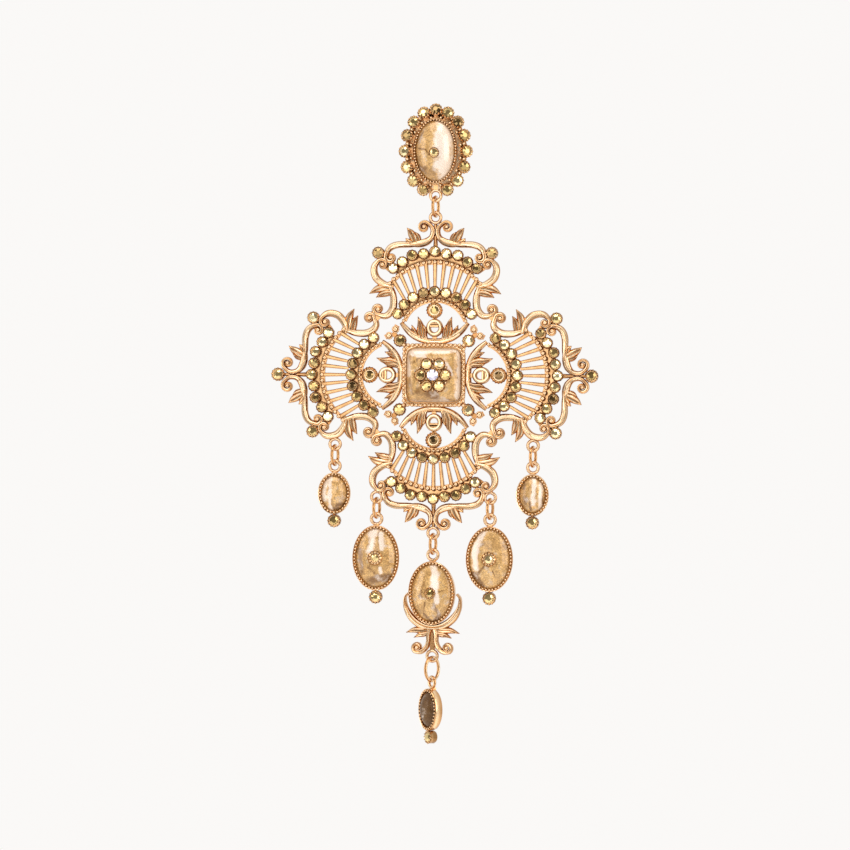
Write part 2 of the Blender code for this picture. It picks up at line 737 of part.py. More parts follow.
def oval_bezel(shells, half_u, half_v, v):
    """An oval setting: a wall round a pocket with a floor, centred at height v."""
    inner_u, inner_v = half_u - DROP_WALL, half_v - DROP_WALL
    loft(shells, [oval(half_u * DROP_FOOT_SHARE, half_v * DROP_FOOT_SHARE, -CAST_BACK, DROP_SIDES,
                       (0.0, v)),
                oval(half_u, half_v, DROP_RIM, DROP_SIDES, (0.0, v)),
                oval(inner_u, inner_v, DROP_RIM, DROP_SIDES, (0.0, v)),
                oval(inner_u, inner_v, BED_FRONT, DROP_SIDES, (0.0, v))])


def stud(matrix):
    """The stud: plate, bezel, halo of set stones, bottom loop and post in one solid."""
    inner_u = STUD_BEZEL_HALF_W - STUD_WALL
    inner_v = STUD_BEZEL_HALF_H - STUD_WALL
    halo_u = STUD_BEZEL_HALF_W + SEAT + HALO_CUP_R
    halo_v = STUD_BEZEL_HALF_H + SEAT + HALO_CUP_R
    back = -PLANE_BACK
    floor = back + STUD_PLATE_T
    rest = []
    loft(rest, [oval(halo_u, halo_v, back, STUD_OVAL_SIDES),
                oval(halo_u, halo_v, floor, STUD_OVAL_SIDES)])
    loft(rest, [oval(STUD_BEZEL_HALF_W, STUD_BEZEL_HALF_H, back, STUD_OVAL_SIDES),
                oval(STUD_BEZEL_HALF_W, STUD_BEZEL_HALF_H, STUD_RIM, STUD_OVAL_SIDES),
                oval(inner_u, inner_v, STUD_RIM, STUD_OVAL_SIDES),
                oval(inner_u, inner_v, STUD_POCKET_FLOOR, STUD_OVAL_SIDES)])
    for i in range(HALO_PLACES):
        angle = 2.0 * math.pi * i / HALO_PLACES
        if i == HALO_PLACES // 2:
            continue
        out = Vector((halo_v * math.sin(angle), halo_u * math.cos(angle))).normalized()
        lean = Matrix.Rotation(HALO_TILT, 4, Vector((-out.y, out.x, 0.0)))
        place = Matrix.Translation((halo_u * math.sin(angle), halo_v * math.cos(angle), floor))
        table = HALO_CUP_R * TABLE_SHARE
        rings = [oval(HALO_CUP_R, HALO_CUP_R, -HALO_ROOT, STONE_SIDES, phase=0.5),
                 oval(table, table, HALO_HEIGHT + STONE_CROWN, STONE_SIDES, phase=0.5)]
        loft(rest, [[place @ lean @ point for point in ring] for ring in rings])
    loop_v = -(halo_v + STUD_LOOP_DROP)
    loop(rest, 0.0, loop_v)
    tie(rest, (0.0, -STUD_BEZEL_HALF_H), (0.0, loop_v + LOOP_R), SCROLL_W, LOOP_TIE_FRONT)
    tip = POST_R * POST_TIP_SHARE
    loft(rest, [oval(POST_R, POST_R, floor - POST_ROOT, POST_SIDES),
                oval(POST_R, POST_R, back - POST_LENGTH + POST_R, POST_SIDES),
                oval(tip, tip, back - POST_LENGTH, POST_SIDES)])
    add_piece("stud_setting", fuse(rest), "gold", matrix)
    domed_oval("stud_cabochon", matrix, inner_u - SEAT, inner_v - SEAT, STUD_POCKET_FLOOR + SEAT,
               STUD_RIM, STUD_DOME, STUD_COLLAR_R + SEAT, STUD_OVAL_SIDES)
    collared_stone("stud_centre_stone", matrix, STUD_COLLAR_R, STUD_RIM + STUD_DOME)
    return loop_v


def jump_ring(name, x, top_z, step, turn=0.0):
    """A round link, edge-on, between a loop at top_z and the next one a step below."""
    radius = step / 2 - LOOP_R + 2.0 * WIRE_R + LINK_GAP
    place = Matrix.Translation((x, -PLANE_BACK, top_z - step / 2)) @ Matrix.Rotation(turn, 4, "Z")
    edge_on = Matrix(((0, 0, 1, 0), (1, 0, 0, 0), (0, 1, 0, 0), (0, 0, 0, 1)))
    shell = []
    torus(shell, radius, WIRE_R, place @ edge_on, RING_SIDES)
    add_piece(name, shell[0], "gold")


def plain_drop(prefix, x, z, half_u, half_v, collar, turn=0.0):
    """An oval drop under its own loop at (x, z), with a stone in a cup at its lower end."""
    matrix = face_frame(x, z, turn=turn)
    centre_v = -(LOOP_R + DROP_NECK + half_v)
    end_v = centre_v - half_v - END_CUP_R + END_CUP_SINK
    rest = []
    oval_bezel(rest, half_u, half_v, centre_v)
    loop(rest, 0.0, 0.0)
    tie(rest, (0.0, -LOOP_R), (0.0, centre_v + half_v - DROP_WALL / 2), SCROLL_W, LOOP_TIE_FRONT)
    cup(rest, 0.0, end_v, END_CUP_R)
    tie(rest, (0.0, centre_v - half_v + DROP_WALL / 2), (0.0, end_v), SCROLL_W)
    add_piece(prefix + "_setting", fuse(rest), "gold", matrix)
    on_oval = matrix @ Matrix.Translation((0.0, centre_v, 0.0))
    hole = DROP_COLLAR_R + SEAT if collar else 0.0
    domed_oval(prefix + "_cabochon", on_oval, half_u - DROP_WALL - SEAT, half_v - DROP_WALL - SEAT,
               BED_FRONT + SEAT, DROP_RIM, DROP_DOME, hole)
    if collar:
        collared_stone(prefix + "_centre_stone", on_oval, DROP_COLLAR_R, DROP_RIM + DROP_DOME)
    seated_stone(prefix + "_end_stone", matrix, (0.0, end_v), END_CUP_R)


def centre_drop(x, z):
    """The large centre drop with its crescent, leaves, volutes and lower loop."""
    matrix = face_frame(x, z, turn=CENTRE_TURN)
    centre_v = -(LOOP_R + DROP_NECK + CENTRE_HALF_H)
    size = CENTRE_HALF_H
    rest = []
    oval_bezel(rest, CENTRE_HALF_W, CENTRE_HALF_H, centre_v)
    loop(rest, 0.0, 0.0)
    tie(rest, (0.0, -LOOP_R), (0.0, centre_v + size - DROP_WALL / 2), SCROLL_W, LOOP_TIE_FRONT)

    def moved(rows):
        return [(u, v + centre_v, width) for u, v, width in rows]

    for mirror in (-1, 1):
        band(rest, moved(scaled(DROP_STEM, size, mirror)), SCROLL_W, SCROLL_FRONT, crest=0)
        spray(rest, [(mirror * u * size, v * size + centre_v) for u, v in DROP_SPRAY])
        u, v, share = DROP_VOLUTE
        boss(rest, mirror * u * size, v * size + centre_v, VOLUTE_R * share, RAIL_FRONT)
    crescent = scaled(CRESCENT, size, -1) + list(reversed(scaled(CRESCENT, size, 1)))[1:]
    band(rest, moved(crescent), SCROLL_W, SCROLL_FRONT, crest=0)
    loop_v = centre_v + DROP_LOOP_PLACE * size
    loop(rest, 0.0, loop_v)
    tie(rest, (0.0, centre_v - size + DROP_WALL), (0.0, loop_v + LOOP_R), SCROLL_W, LOOP_TIE_FRONT)
    add_piece("centre_setting", fuse(rest), "gold", matrix)
    on_oval = matrix @ Matrix.Translation((0.0, centre_v, 0.0))
    domed_oval("centre_drop_cabochon", on_oval, CENTRE_HALF_W - DROP_WALL - SEAT,
               CENTRE_HALF_H - DROP_WALL - SEAT, BED_FRONT + SEAT, DROP_RIM, DROP_DOME,
               DROP_COLLAR_R + SEAT)
    collared_stone("centre_drop_stone", on_oval, DROP_COLLAR_R, DROP_RIM + DROP_DOME)
    return z + loop_v


def build():
    """Hang every piece from the stud, link by link."""
    clear_scene()
    stud_loop_z = stud(face_frame(0.0, 0.0))
    jump_ring("top_ring", 0.0, stud_loop_z, RING_STEP)
    cross_z = stud_loop_z - RING_STEP - CROSS_REACH
    centre = (0.0, cross_z)
    cross_frame(face_frame(*centre))
    cross_stones(centre)
    centre_stones(face_frame(*centre))
    for side, mirror in (("left", -1), ("right", 1)):
        x = mirror * HANGER_PLACE[1] * CROSS_REACH
        z = cross_z - HANGER_PLACE[0] * CROSS_REACH
        jump_ring(side + "_small_ring", x, z, RING_STEP)
        plain_drop(side + "_small", x, z - RING_STEP, SMALL_HALF_W, SMALL_HALF_H, False)
        x = mirror * CORNER_PLACE[0] * CROSS_REACH
        z = cross_z - CORNER_PLACE[1] * CROSS_REACH
        jump_ring(side + "_middle_ring", x, z, RING_STEP)
        plain_drop(side + "_middle", x, z - RING_STEP, MIDDLE_HALF_W, MIDDLE_HALF_H, True)
    tip_z = cross_z - CROSS_REACH
    jump_ring("centre_ring", 0.0, tip_z, RING_STEP)
    tail_z = centre_drop(0.0, tip_z - RING_STEP)
    jump_ring("tail_ring", 0.0, tail_z, TAIL_RING_STEP, TAIL_RING_TURN)
    plain_drop("tail", 0.0, tail_z - TAIL_RING_STEP, SMALL_HALF_W, SMALL_HALF_H, False, TAIL_TURN)


build()
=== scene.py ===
import random
from math import asin, atan2, cos, dist, hypot, pi, radians, sin

import bmesh
import bpy
from mathutils import Matrix, Vector


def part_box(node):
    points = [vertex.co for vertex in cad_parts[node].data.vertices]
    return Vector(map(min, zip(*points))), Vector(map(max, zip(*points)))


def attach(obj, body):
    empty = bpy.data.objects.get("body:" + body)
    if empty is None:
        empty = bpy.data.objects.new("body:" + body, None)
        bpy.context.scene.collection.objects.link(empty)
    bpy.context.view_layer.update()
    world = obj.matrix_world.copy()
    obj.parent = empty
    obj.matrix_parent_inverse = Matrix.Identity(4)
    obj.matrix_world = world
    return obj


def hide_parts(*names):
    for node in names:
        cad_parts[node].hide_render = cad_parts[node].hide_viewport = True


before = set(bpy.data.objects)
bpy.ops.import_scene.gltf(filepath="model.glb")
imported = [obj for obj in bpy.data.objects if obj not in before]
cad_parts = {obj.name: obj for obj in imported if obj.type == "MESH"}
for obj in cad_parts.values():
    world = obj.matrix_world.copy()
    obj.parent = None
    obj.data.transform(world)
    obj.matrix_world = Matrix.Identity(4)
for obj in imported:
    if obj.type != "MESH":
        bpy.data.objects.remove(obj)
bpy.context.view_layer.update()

# Lengths are in millimetres. A face has u to the right, v up or outward, and d forward.
MM = 0.001

# Depths, measured forward from the middle plane of the hanging parts
PLANE_BACK = 0.8
CAST_BACK = -0.6
BED_FRONT = 0.05
TIE_FRONT = 0.22
CUP_RIM = 1.0

# Heights of the swept metal, from the back of the casting
SCROLL_RISE = 1.25
BOWL_RISE = 1.2
LEAF_RISE = 1.15
LEAF_FALL = 0.45
BAR_RISE = 1.12
RING_RISE = 1.35
RAIL_RISE = 0.6
ROW_BED_RISE = 0.3
STEM_RISE = 0.5
EYE_RISE = 0.8
EYE_BEAD_D = 0.42

# Ties and necks
TIE_HALF_W = 0.42
LOOP_TIE_HALF_W = 0.4
NECK_HALF_W = 0.41
NECK_OVERLAP = 0.2
SPINE_OVERLAP = 0.4

# Curls
CURL_CLOSE = 0.28
CURL_THINNING = 0.35
CURL_STEPS = 18

# Wire
WIRE_R = 0.28
LOOP_R = 0.9

# Stones
STONE_SIDES = 8
STONE_CROWN_SHARE = 0.27
STONE_TABLE_SHARE = 0.52
STONE_BEVEL = 0.16
STONE_BACK_SHARE = 0.3
STONE_BACK_DEPTH = 0.32
STONE_TILT = radians(12.0)
STONE_SINK = 0.18
LENS_STONE_R = 0.78
DIAGONAL_STONE_R = 0.8
TIP_STONE_R = 0.81
CORNER_STONE_R = 0.77

# Smallest angle between faces that shows as an edge, in degrees
METAL_EDGE = 38.0
FACET_EDGE = 12.0

# Cross
REACH = 26.9
OUTER_CENTRE = 9.36
OUTER_RAIL_R = 9.85
OUTER_SPAN = radians(51.0)
OUTER_BEADS = 19
OUTER_BEAD_R = 0.39
INNER_CENTRE = 7.13
INNER_RAIL_R = 5.6
INNER_SPAN = radians(68.0)
INNER_BEADS = 19
INNER_BEAD_R = 0.32
RAIL_HALF_W = 0.33
ROW_GAP = 1.55
ROW_PITCH = 0.97
ROW_STONES = 9
ROW_RISES = (0.0, 0.0, 0.35, 0.1, 0.35, 0.1, 0.35, 0.0, 0.0)
ROW_CUP_R = 1.03
ROW_STONE_R = 0.73
BEAD_SHIFT = 0.14
RAIL_BEAD_D = 0.28
BED_SHIFT = 1.02
BED_HALF_W = 0.88
FAN_BARS = 11
FAN_START_R = 7.7
FAN_START_HALF_W = 0.25
FAN_END_HALF_W = 0.36
FAN_INNER_SPAN = radians(42.0)
FAN_OUTER_SPAN = radians(46.5)
LENS_V = 11.08
LENS_CUP_R = 1.45
DIAGONAL = 5.89
DIAGONAL_CUP_R = 1.15
CORNER = (9.74, 20.85)
CORNER_CUP_R = 1.12
CORNER_TIE_FOOT = (8.34, 19.5)
CORNER_LOOP_TIE = (9.1, 19.4, 9.45, 20.05)
TIP_CUP_R = 1.2
TIP_SEAT_R = 0.8
STEM = ((0.0, 22.0, 0.4), (0.0, 24.0, 0.3))
HANGER = (11.89, 17.0)
HANGER_TIE = (10.5, 17.2, HANGER[0] - LOOP_R, 17.02)
KNOB_PAIR = 7.26
KNOB_STEP = 0.54
KNOB_R = 0.52
KNOB_D = 0.35
KNOB_RING_R = 0.5
KNOB_RING_D = 0.15
KNOB_WIRE_R = 0.16
DIAGONAL_TIE = (4.6, 4.6, KNOB_PAIR, KNOB_PAIR)
NOTCH_TIE = (9.39, 10.2, 10.2, 9.39)
NOTCH_TIE_FRONT = 0.5
PALMETTE_V = 8.07
PALMETTE_R = 1.05
PALMETTE_STRETCH = 1.1
PALMETTE_HALF_W = 0.44
PALMETTE_STEPS = 24
RIDGE_REACH = 0.72
RIDGE_HALF_W = 0.24

# Square centre
SQUARE_HALF = 5.4
SQUARE_POWER = 7.0
SQUARE_RIM = 1.2
SQUARE_LINE = 5.12
SQUARE_GRAINS = 14
SQUARE_GRAIN_R = 0.31
SQUARE_WALL = (
    # half width, depth
    (0.0, CAST_BACK), (5.2, CAST_BACK), (SQUARE_HALF, 0.0), (SQUARE_HALF, SQUARE_RIM - 0.15),
    (5.36, SQUARE_RIM - 0.02), (5.3, SQUARE_RIM - 0.05), (SQUARE_LINE, SQUARE_RIM - 0.32),
    (4.9, SQUARE_RIM - 0.15), (4.72, SQUARE_RIM - 0.25), (4.72, 0.1), (0.0, 0.05),
)
PILLOW_RISE = 1.3
PILLOW_HALF = 4.62
PILLOW_PROFILE = (
    # share of the half width, depth
    (0.0, 0.2), (1.0, 0.2), (1.0, 1.0), (0.985, 1.15), (0.95, 1.35), (0.91, 1.55), (0.86, 1.76),
    (0.8, 1.95), (0.75, 2.06), (0.7, 2.13), (0.64, 2.19), (0.56, 2.26), (0.46, 2.33),
    (0.36, 2.39), (0.24, 2.44), (0.12, 2.46), (0.0, 2.47),
)

# Flower of stones; its depths count from the top of the pillow
PETALS = 6
FLOWER_REACH = 2.15
FLOWER_BACK = -0.9
PETAL_CUP_R = 1.12
PETAL_RIM = 0.3
PETAL_STONE_R = 0.74
PETAL_STONE_D = 0.16
GAP_BEAD_REACH = 2.6
GAP_BEAD_R = 0.28
HEART_CUP_R = 1.2
HEART_RIM = 0.55
HEART_STONE_R = 0.99
HEART_STONE_D = 0.42

# Stud
STUD_HALF = (3.8, 5.6)
STUD_RIM = 1.7
STUD_RISE = 1.5
STUD_BACK = -0.7
STUD_FLOOR = 0.1
STUD_PLATE = (
    # share of the half width, depth
    (0.0, -PLANE_BACK), (0.97, -PLANE_BACK), (1.0, 0.2 - PLANE_BACK), (1.0, STUD_FLOOR - 0.1),
    (0.97, STUD_FLOOR), (0.0, STUD_FLOOR),
)
STUD_COLLAR_R = 0.92
STUD_COLLAR_V = -0.4
STUD_DOME_GAP = 0.42
STUD_DOME_FLOOR = 1.02
STUD_DOME_SINK = 0.25
# Level of the stud's metal on the painted-shade ramp: a lower level makes its plate read lighter
STUD_LEVEL = -0.25
HALO_HALF = (5.02, 6.82)
HALO_PLACES = 16
HALO_TILT = radians(20.0)
HALO_CUP_R = 1.17
HALO_CUP_RIM = 1.25
HALO_CUP_BACK = -0.54
HALO_STONE_R = 0.82
HALO_STONE_D = 1.04
HALO_BEADS = (
    # share of the way out, radius
    (0.99, 0.44), (0.86, 0.34),
)
HALO_BEAD_D = 0.35
STUD_LOOP_V = -7.52
POST_R = 0.42
POST_LENGTH = 11.0
POST_END = -PLANE_BACK - POST_LENGTH
POST_PROFILE = (
    # radius, depth: a plain pin with a groove near its rounded end
    (0.0, STUD_FLOOR), (POST_R, STUD_FLOOR), (POST_R, POST_END + 1.4), (POST_R * 0.8, POST_END + 1.2),
    (POST_R * 0.8, POST_END + 0.9), (POST_R, POST_END + 0.7), (POST_R * 0.9, POST_END + 0.3),
    (POST_R * 0.5, POST_END), (0.0, POST_END),
)

# Drops
DROP_WALL = 0.4
DROP_RIM = 1.0
DROP_RISE = 0.9
DROP_NECK = 0.15
DOME_GAP = 0.52
DOME_FLOOR = 0.2
DOME_SINK = 0.35
DOME_STEPS = 14
DOME_POWER = 2.4
SMALL_HALF = (2.8, 3.6)
MIDDLE_HALF = (4.04, 5.6)
CENTRE_HALF = (4.1, 5.45)
COLLAR_R = 1.05
WIDE_COLLAR_R = 1.35
COLLAR_STONE_R = 0.66
COLLAR_STONE_D = 0.22
COLLAR_RISE = 0.35
COLLAR_SINK = 0.5
COLLAR_LIP = 0.14
END_CUP_R = 1.2
END_STONE_R = 0.79
END_SINK = 0.12
CENTRE_TURN = radians(-9.0)
RING_TURN = radians(-11.0)
TAIL_RING_TURN = radians(-27.0)
TAIL_TURN = radians(-52.0)

# Camera, in metres
AIM = (-0.00163, 0.0, -0.04667)
AZIMUTH = radians(6.5)
ROLL = radians(0.45)
DISTANCE = 0.6
VIEW_WIDTH = 0.1453
SENSOR_WIDTH = 36.0

# Floor and lamps, in metres and watts
FLOOR_HALF = 1.2
FLOOR_Z = -0.42
LAMP_COLOUR = (1.0, 0.98, 0.95)
LAMPS = (
    # name, place, width and height, power
    ("window", (-0.12, -0.62, 0.1), (0.36, 0.42), 0.84),
    ("right_box", (0.5, -0.32, 0.1), (0.3, 0.6), 1.6),
    ("left_box", (-0.55, -0.25, 0.0), (0.25, 0.6), 1.1),
    ("top_box", (0.0, -0.2, 0.5), (0.6, 0.25), 1.7),
)

# Outlines of the swept metal, across from -1 to 1 and up from 0 to 1
SCROLL_OUTLINE = (
    (-0.8, 0.0), (-1.0, 0.25), (-1.0, 0.54), (-0.84, 0.82), (-0.5, 0.98), (-0.16, 1.0),
    (0.06, 0.94), (0.26, 0.83), (0.44, 0.87), (0.62, 0.9), (0.86, 0.72), (1.0, 0.48),
    (1.0, 0.25), (0.8, 0.0),
)
LEAF_OUTLINE = (
    (-0.8, 0.0), (-1.0, 0.44), (-0.82, 0.8), (-0.46, 0.98), (-0.1, 0.92), (0.0, 0.78), (0.1, 0.92),
    (0.46, 0.98), (0.82, 0.8), (1.0, 0.44), (0.8, 0.0),
)
BAR_OUTLINE = (
    (-1.0, 0.0), (-1.0, 0.84), (-0.88, 0.98), (-0.66, 1.0), (-0.48, 0.86), (0.48, 0.86),
    (0.66, 1.0), (0.88, 0.98), (1.0, 0.84), (1.0, 0.0),
)
ROUND_OUTLINE = (
    (-0.8, 0.0), (-1.0, 0.3), (-0.92, 0.7), (-0.55, 0.95), (0.0, 1.0), (0.55, 0.95),
    (0.92, 0.7), (1.0, 0.3), (0.8, 0.0),
)
FLAT_OUTLINE = ((-1.0, 0.0), (-1.0, 0.85), (-0.9, 1.0), (0.9, 1.0), (1.0, 0.85), (1.0, 0.0))

# Scrolls of half an arm: a row of stations, then the centre and the turns of the curl at the end
FINIAL = (
    # u, v, half width
    (4.4, 22.3, 0.26), (3.0, 22.4, 0.6), (1.6, 22.75, 0.65), (0.7, 23.5, 0.49),
    (0.4, 24.5, 0.46), (0.66, 25.32, 0.39), (1.32, 25.98, 0.39),
)
TOP_SCROLL = (
    (2.6, 22.3, 0.26), (4.2, 22.28, 0.49), (6.2, 22.3, 0.58), (7.45, 21.95, 0.58),
    (8.15, 21.3, 0.53), (8.44, 20.5, 0.44),
)
SIDE_SCROLL = (
    (7.1, 15.05, 0.39), (8.7, 15.5, 0.58), (9.98, 16.4, 0.65), (10.48, 17.55, 0.63),
    (10.42, 18.62, 0.56), (9.92, 19.33, 0.44),
)
INNER_SCROLL = (
    (7.8, 15.6, 0.3), (7.22, 13.85, 0.56), (7.12, 11.9, 0.65), (7.66, 10.66, 0.63),
    (8.6, 10.06, 0.56), (9.72, 10.32, 0.44),
)
SCROLLS = (
    # stations, centre of the curl, turns (anticlockwise above zero), radius of the bead in its eye
    (FINIAL, (1.95, 25.28), -1.15, 0.3),
    (TOP_SCROLL, (7.64, 20.1), -1.05, 0.4),
    (SIDE_SCROLL, (9.03, 18.86), 0.95, 0.42),
    (INNER_SCROLL, (9.72, 11.22), 1.15, 0.4),
)
BOWL = ((5.75, 8.95, 0.34), (4.6, 7.6, 0.52), (3.2, 6.52, 0.58), (1.6, 5.92, 0.56), (0.0, 5.78, 0.54))
LEAVES = (
    # root, bend, bend, tip, half width
    ((3.3, 22.3), (3.72, 23.4), (4.25, 24.35), (4.9, 25.15), 0.7),
    ((2.75, 22.45), (3.0, 23.2), (3.22, 23.85), (3.5, 24.45), 0.6),
    ((3.7, 22.35), (4.3, 22.62), (4.75, 22.95), (5.12, 23.4), 0.55),
    ((7.3, 14.85), (8.7, 14.95), (10.05, 14.62), (11.3, 13.9), 0.74),
    ((7.2, 14.05), (8.2, 14.05), (9.2, 13.8), (10.15, 13.25), 0.65),
    ((7.5, 15.15), (8.4, 15.45), (9.3, 15.42), (10.15, 15.05), 0.53),
    ((1.95, 5.95), (2.45, 7.3), (2.5, 8.7), (2.92, 10.0), 0.62),
    ((2.75, 6.2), (3.35, 6.9), (3.62, 7.6), (3.98, 8.6), 0.58),
    ((1.3, 5.9), (1.72, 6.8), (1.72, 7.8), (2.08, 8.8), 0.48),
)
ARM_TIES = (
    # from u, v to u, v
    (7.64, 20.1, 9.03, 18.88), (7.2, 17.6, 9.03, 18.88), (6.4, 10.4, 7.2, 11.4), (6.45, 8.5, 7.0, 7.5),
)
PALMETTE_TIES = (
    # from v, to v, half width, front
    (BOWL[-1][1], PALMETTE_V - PALMETTE_R, 0.4, 0.3),
    (PALMETTE_V + PALMETTE_R, LENS_V, 0.35, 0.2),
)
PALMETTE_RIDGES = (
    # above the middle of the ring, front
    (0.28, 0.85), (0.72, 0.7),
)

# Centre drop's scrolls, from the middle of its oval
CRESCENT = (
    (4.3, -0.15, 0.21), (4.8, -0.75, 0.21), (4.86, -1.6, 0.3), (4.62, -2.7, 0.46),
    (3.85, -4.05, 0.62), (2.7, -5.1, 0.65), (1.4, -5.72, 0.58), (0.0, -5.9, 0.53),
)
DROP_SCROLL = (
    (0.42, -6.2, 0.5), (0.66, -7.2, 0.46), (0.68, -8.3, 0.42), (1.1, -9.35, 0.44),
    (2.0, -10.05, 0.44), (3.0, -10.05, 0.38),
)
DROP_CURL = (2.62, -9.33)
DROP_CURL_TURNS = 1.1
DROP_EYE_R = 0.36
DROP_LEAVES = (
    ((0.4, -6.15), (1.8, -6.35), (3.2, -6.38), (4.7, -6.85), 0.6),
    ((0.6, -6.8), (1.5, -7.05), (2.3, -7.18), (3.3, -7.7), 0.5),
)
DROP_LOOP_V = -10.74

# Marbling of each cabochon, with painted reflection: pale strokes, partly pearl-white marbling and partly a
# painted reflection of the soft boxes, then brown ones. Places are shares of its half width and height.
STUD_MARBLING_AND_REFLECTION = (
    # from u, v to u, v, half width in mm, strength
    # pale band over the right half: a painted reflection of the right soft box
    ((0.45, 1.0, 0.5, -1.0, 2.1, 1.0),),
    ((-0.85, 0.05, -0.45, 0.05, 0.22, 1.0), (-0.45, 0.05, -0.25, -0.15, 0.22, 1.0),
     (-0.95, -0.1, -0.85, -0.35, 0.3, 0.9), (-0.8, -0.5, 0.0, -0.78, 1.3, 0.55),
     (-0.6, 0.6, -0.9, 0.3, 0.3, 0.5)),
)
SQUARE_MARBLING_AND_REFLECTION = (
    ((-0.95, 0.9, 0.95, 0.94, 0.95, 1.0), (-0.95, 0.95, -0.93, 0.05, 0.7, 0.9),
     (-0.85, 0.85, -0.45, 0.8, 1.1, 1.0), (0.97, 0.9, 0.95, -0.9, 0.85, 1.0),
     (-0.8, -1.0, 0.95, -1.0, 0.7, 0.7), (0.5, 0.38, 0.66, 0.05, 0.75, 1.0)),
    ((-0.55, -0.62, 0.1, -0.8, 1.1, 0.8), (-0.85, 0.42, -0.5, 0.6, 0.3, 1.0),
     (0.82, 0.22, 0.95, 0.05, 0.26, 1.0), (-0.85, -0.2, -0.75, -0.7, 0.5, 0.5),
     (0.2, -0.95, 0.7, -0.9, 0.4, 0.6)),
)
MARBLING_AND_REFLECTIONS = {
    "left_middle": (
        ((-0.08, 1.0, -0.22, 0.25, 1.0, 1.0), (0.25, 0.8, 0.28, 0.3, 0.6, 0.9),
         (0.22, -0.32, 0.3, -0.48, 0.45, 0.9)),
        ((0.12, 0.9, 0.16, 0.3, 0.16, 0.9), (-0.8, 0.35, -0.62, -0.5, 1.0, 0.55),
         (-0.35, -0.78, 0.6, -0.62, 1.0, 0.85), (-0.35, -0.3, 0.0, -0.5, 0.5, 0.7)),
    ),
    "right_middle": (
        ((-0.32, 0.88, -0.68, 0.4, 0.7, 1.0), (-0.68, 0.4, -0.62, -0.3, 0.7, 1.0)),
        ((-0.78, -0.5, -0.35, -0.85, 0.7, 0.9), (-0.55, -0.5, -0.25, -0.25, 0.3, 0.8),
         (0.15, -0.35, 0.4, -0.7, 0.16, 1.0), (-0.2, 0.5, 0.7, 0.42, 1.1, 0.45)),
    ),
    "centre": (
        ((0.12, 1.0, 0.25, 0.2, 0.85, 1.0), (0.25, 0.2, 0.36, -0.3, 0.6, 0.9)),
        ((0.22, 0.07, 1.0, 0.1, 0.16, 1.0), (-0.3, 0.35, -0.48, -0.1, 0.6, 0.7),
         (-0.25, -0.32, -0.36, -0.68, 0.3, 0.9), (-0.36, -0.68, 0.0, -1.0, 0.34, 0.9),
         (0.18, -0.38, 0.42, -0.75, 0.32, 0.9), (0.42, -0.75, 0.15, -1.0, 0.5, 0.9)),
    ),
    "left_small": (
        ((-0.62, 0.8, -0.76, -0.3, 0.7, 1.0), (-0.28, 0.95, -0.25, -1.0, 0.55, 1.0)),
        ((0.25, -0.66, 0.8, -0.6, 0.5, 0.9), (0.0, -0.82, 0.4, -0.86, 0.5, 0.8)),
    ),
    "right_small": (
        ((0.15, 1.0, 0.1, -0.5, 0.62, 1.0), (0.65, 0.75, 0.6, -0.7, 0.45, 1.0)),
        ((-0.62, 0.6, -0.5, -0.5, 0.8, 0.5), (-0.15, -0.4, -0.1, -0.8, 0.35, 0.9),
         (0.75, -0.1, 0.8, -0.5, 0.3, 0.9)),
    ),
    "tail": (
        (),
        # the tail's brown stroke covers its whole dome: painted shade for a face turned away from the light
        ((0.0, 1.0, 0.0, -1.0, 6.0, 2.6),),
    ),
}


def face(x, z, spin=0.0, turn=0.0):
    """Matrix from (u, v, d) in millimetres to the world in metres."""
    to_world = Matrix(((1, 0, 0, 0), (0, 0, -1, 0), (0, 1, 0, 0), (0, 0, 0, 1)))
    place = Matrix.Translation((x, -PLANE_BACK, z)) @ Matrix.Rotation(turn, 4, "Z")
    return Matrix.Scale(MM, 4) @ place @ Matrix.Rotation(spin, 4, "Y") @ to_world


def middle(node):
    """Middle of a frame node's box, in millimetres."""
    low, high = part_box(node)
    return (low + high) / 2 / MM


def spot(u, v, d=0.0, size=1.0, spin=0.0):
    """Matrix that puts a stamped shape at a place on a face."""
    return Matrix.Translation((u, v, d)) @ Matrix.Rotation(spin, 4, "Z") @ Matrix.Scale(size, 4)


MIRROR = Matrix.Scale(-1.0, 4, Vector((1.0, 0.0, 0.0)))
CHANCE = random.Random(7)


def keep(model):
    """Close a model as a mesh that can be stamped many times."""
    bmesh.ops.recalc_face_normals(model, faces=model.faces)
    shape = bpy.data.meshes.new("shape")
    model.to_mesh(shape)
    model.free()
    return shape


def stamp(model, shape, place=None):
    """Add a copy of a shape to a model."""
    copy = shape.copy()
    if place is not None:
        copy.transform(place)
    model.from_mesh(copy)
    bpy.data.meshes.remove(copy)


def smooth(points, steps=5):
    """A smooth route through rows of numbers."""
    rows = [points[0]] + list(points) + [points[-1]]
    route = []
    for a, b, c, d in zip(rows, rows[1:], rows[2:], rows[3:]):
        for k in range(steps):
            t = k / steps
            route.append(tuple(
                0.5 * (2 * q + (r - p) * t + (2 * p - 5 * q + 4 * r - s) * t ** 2
                       + (3 * q - p - 3 * r + s) * t ** 3)
                for p, q, r, s in zip(a, b, c, d)))
    route.append(tuple(points[-1]))
    return route


def both_sides(rows):
    """Stations of a whole arc, from those of its right half, which end in the middle."""
    return [(-u, v, w) for u, v, w in rows] + list(reversed(rows))[1:]


def curl(start, centre, turns):
    """Stations that wind in from a start station round a centre."""
    reach = Vector(start[:2]) - Vector(centre)
    angle = atan2(reach.y, reach.x)
    rows = []
    for k in range(1, CURL_STEPS + 1):
        share = k / CURL_STEPS
        radius = reach.length * (1.0 - (1.0 - CURL_CLOSE) * share)
        here = angle + turns * 2.0 * pi * share
        rows.append((centre[0] + radius * cos(here), centre[1] + radius * sin(here),
                     start[2] * (1.0 - CURL_THINNING * share)))
    return rows


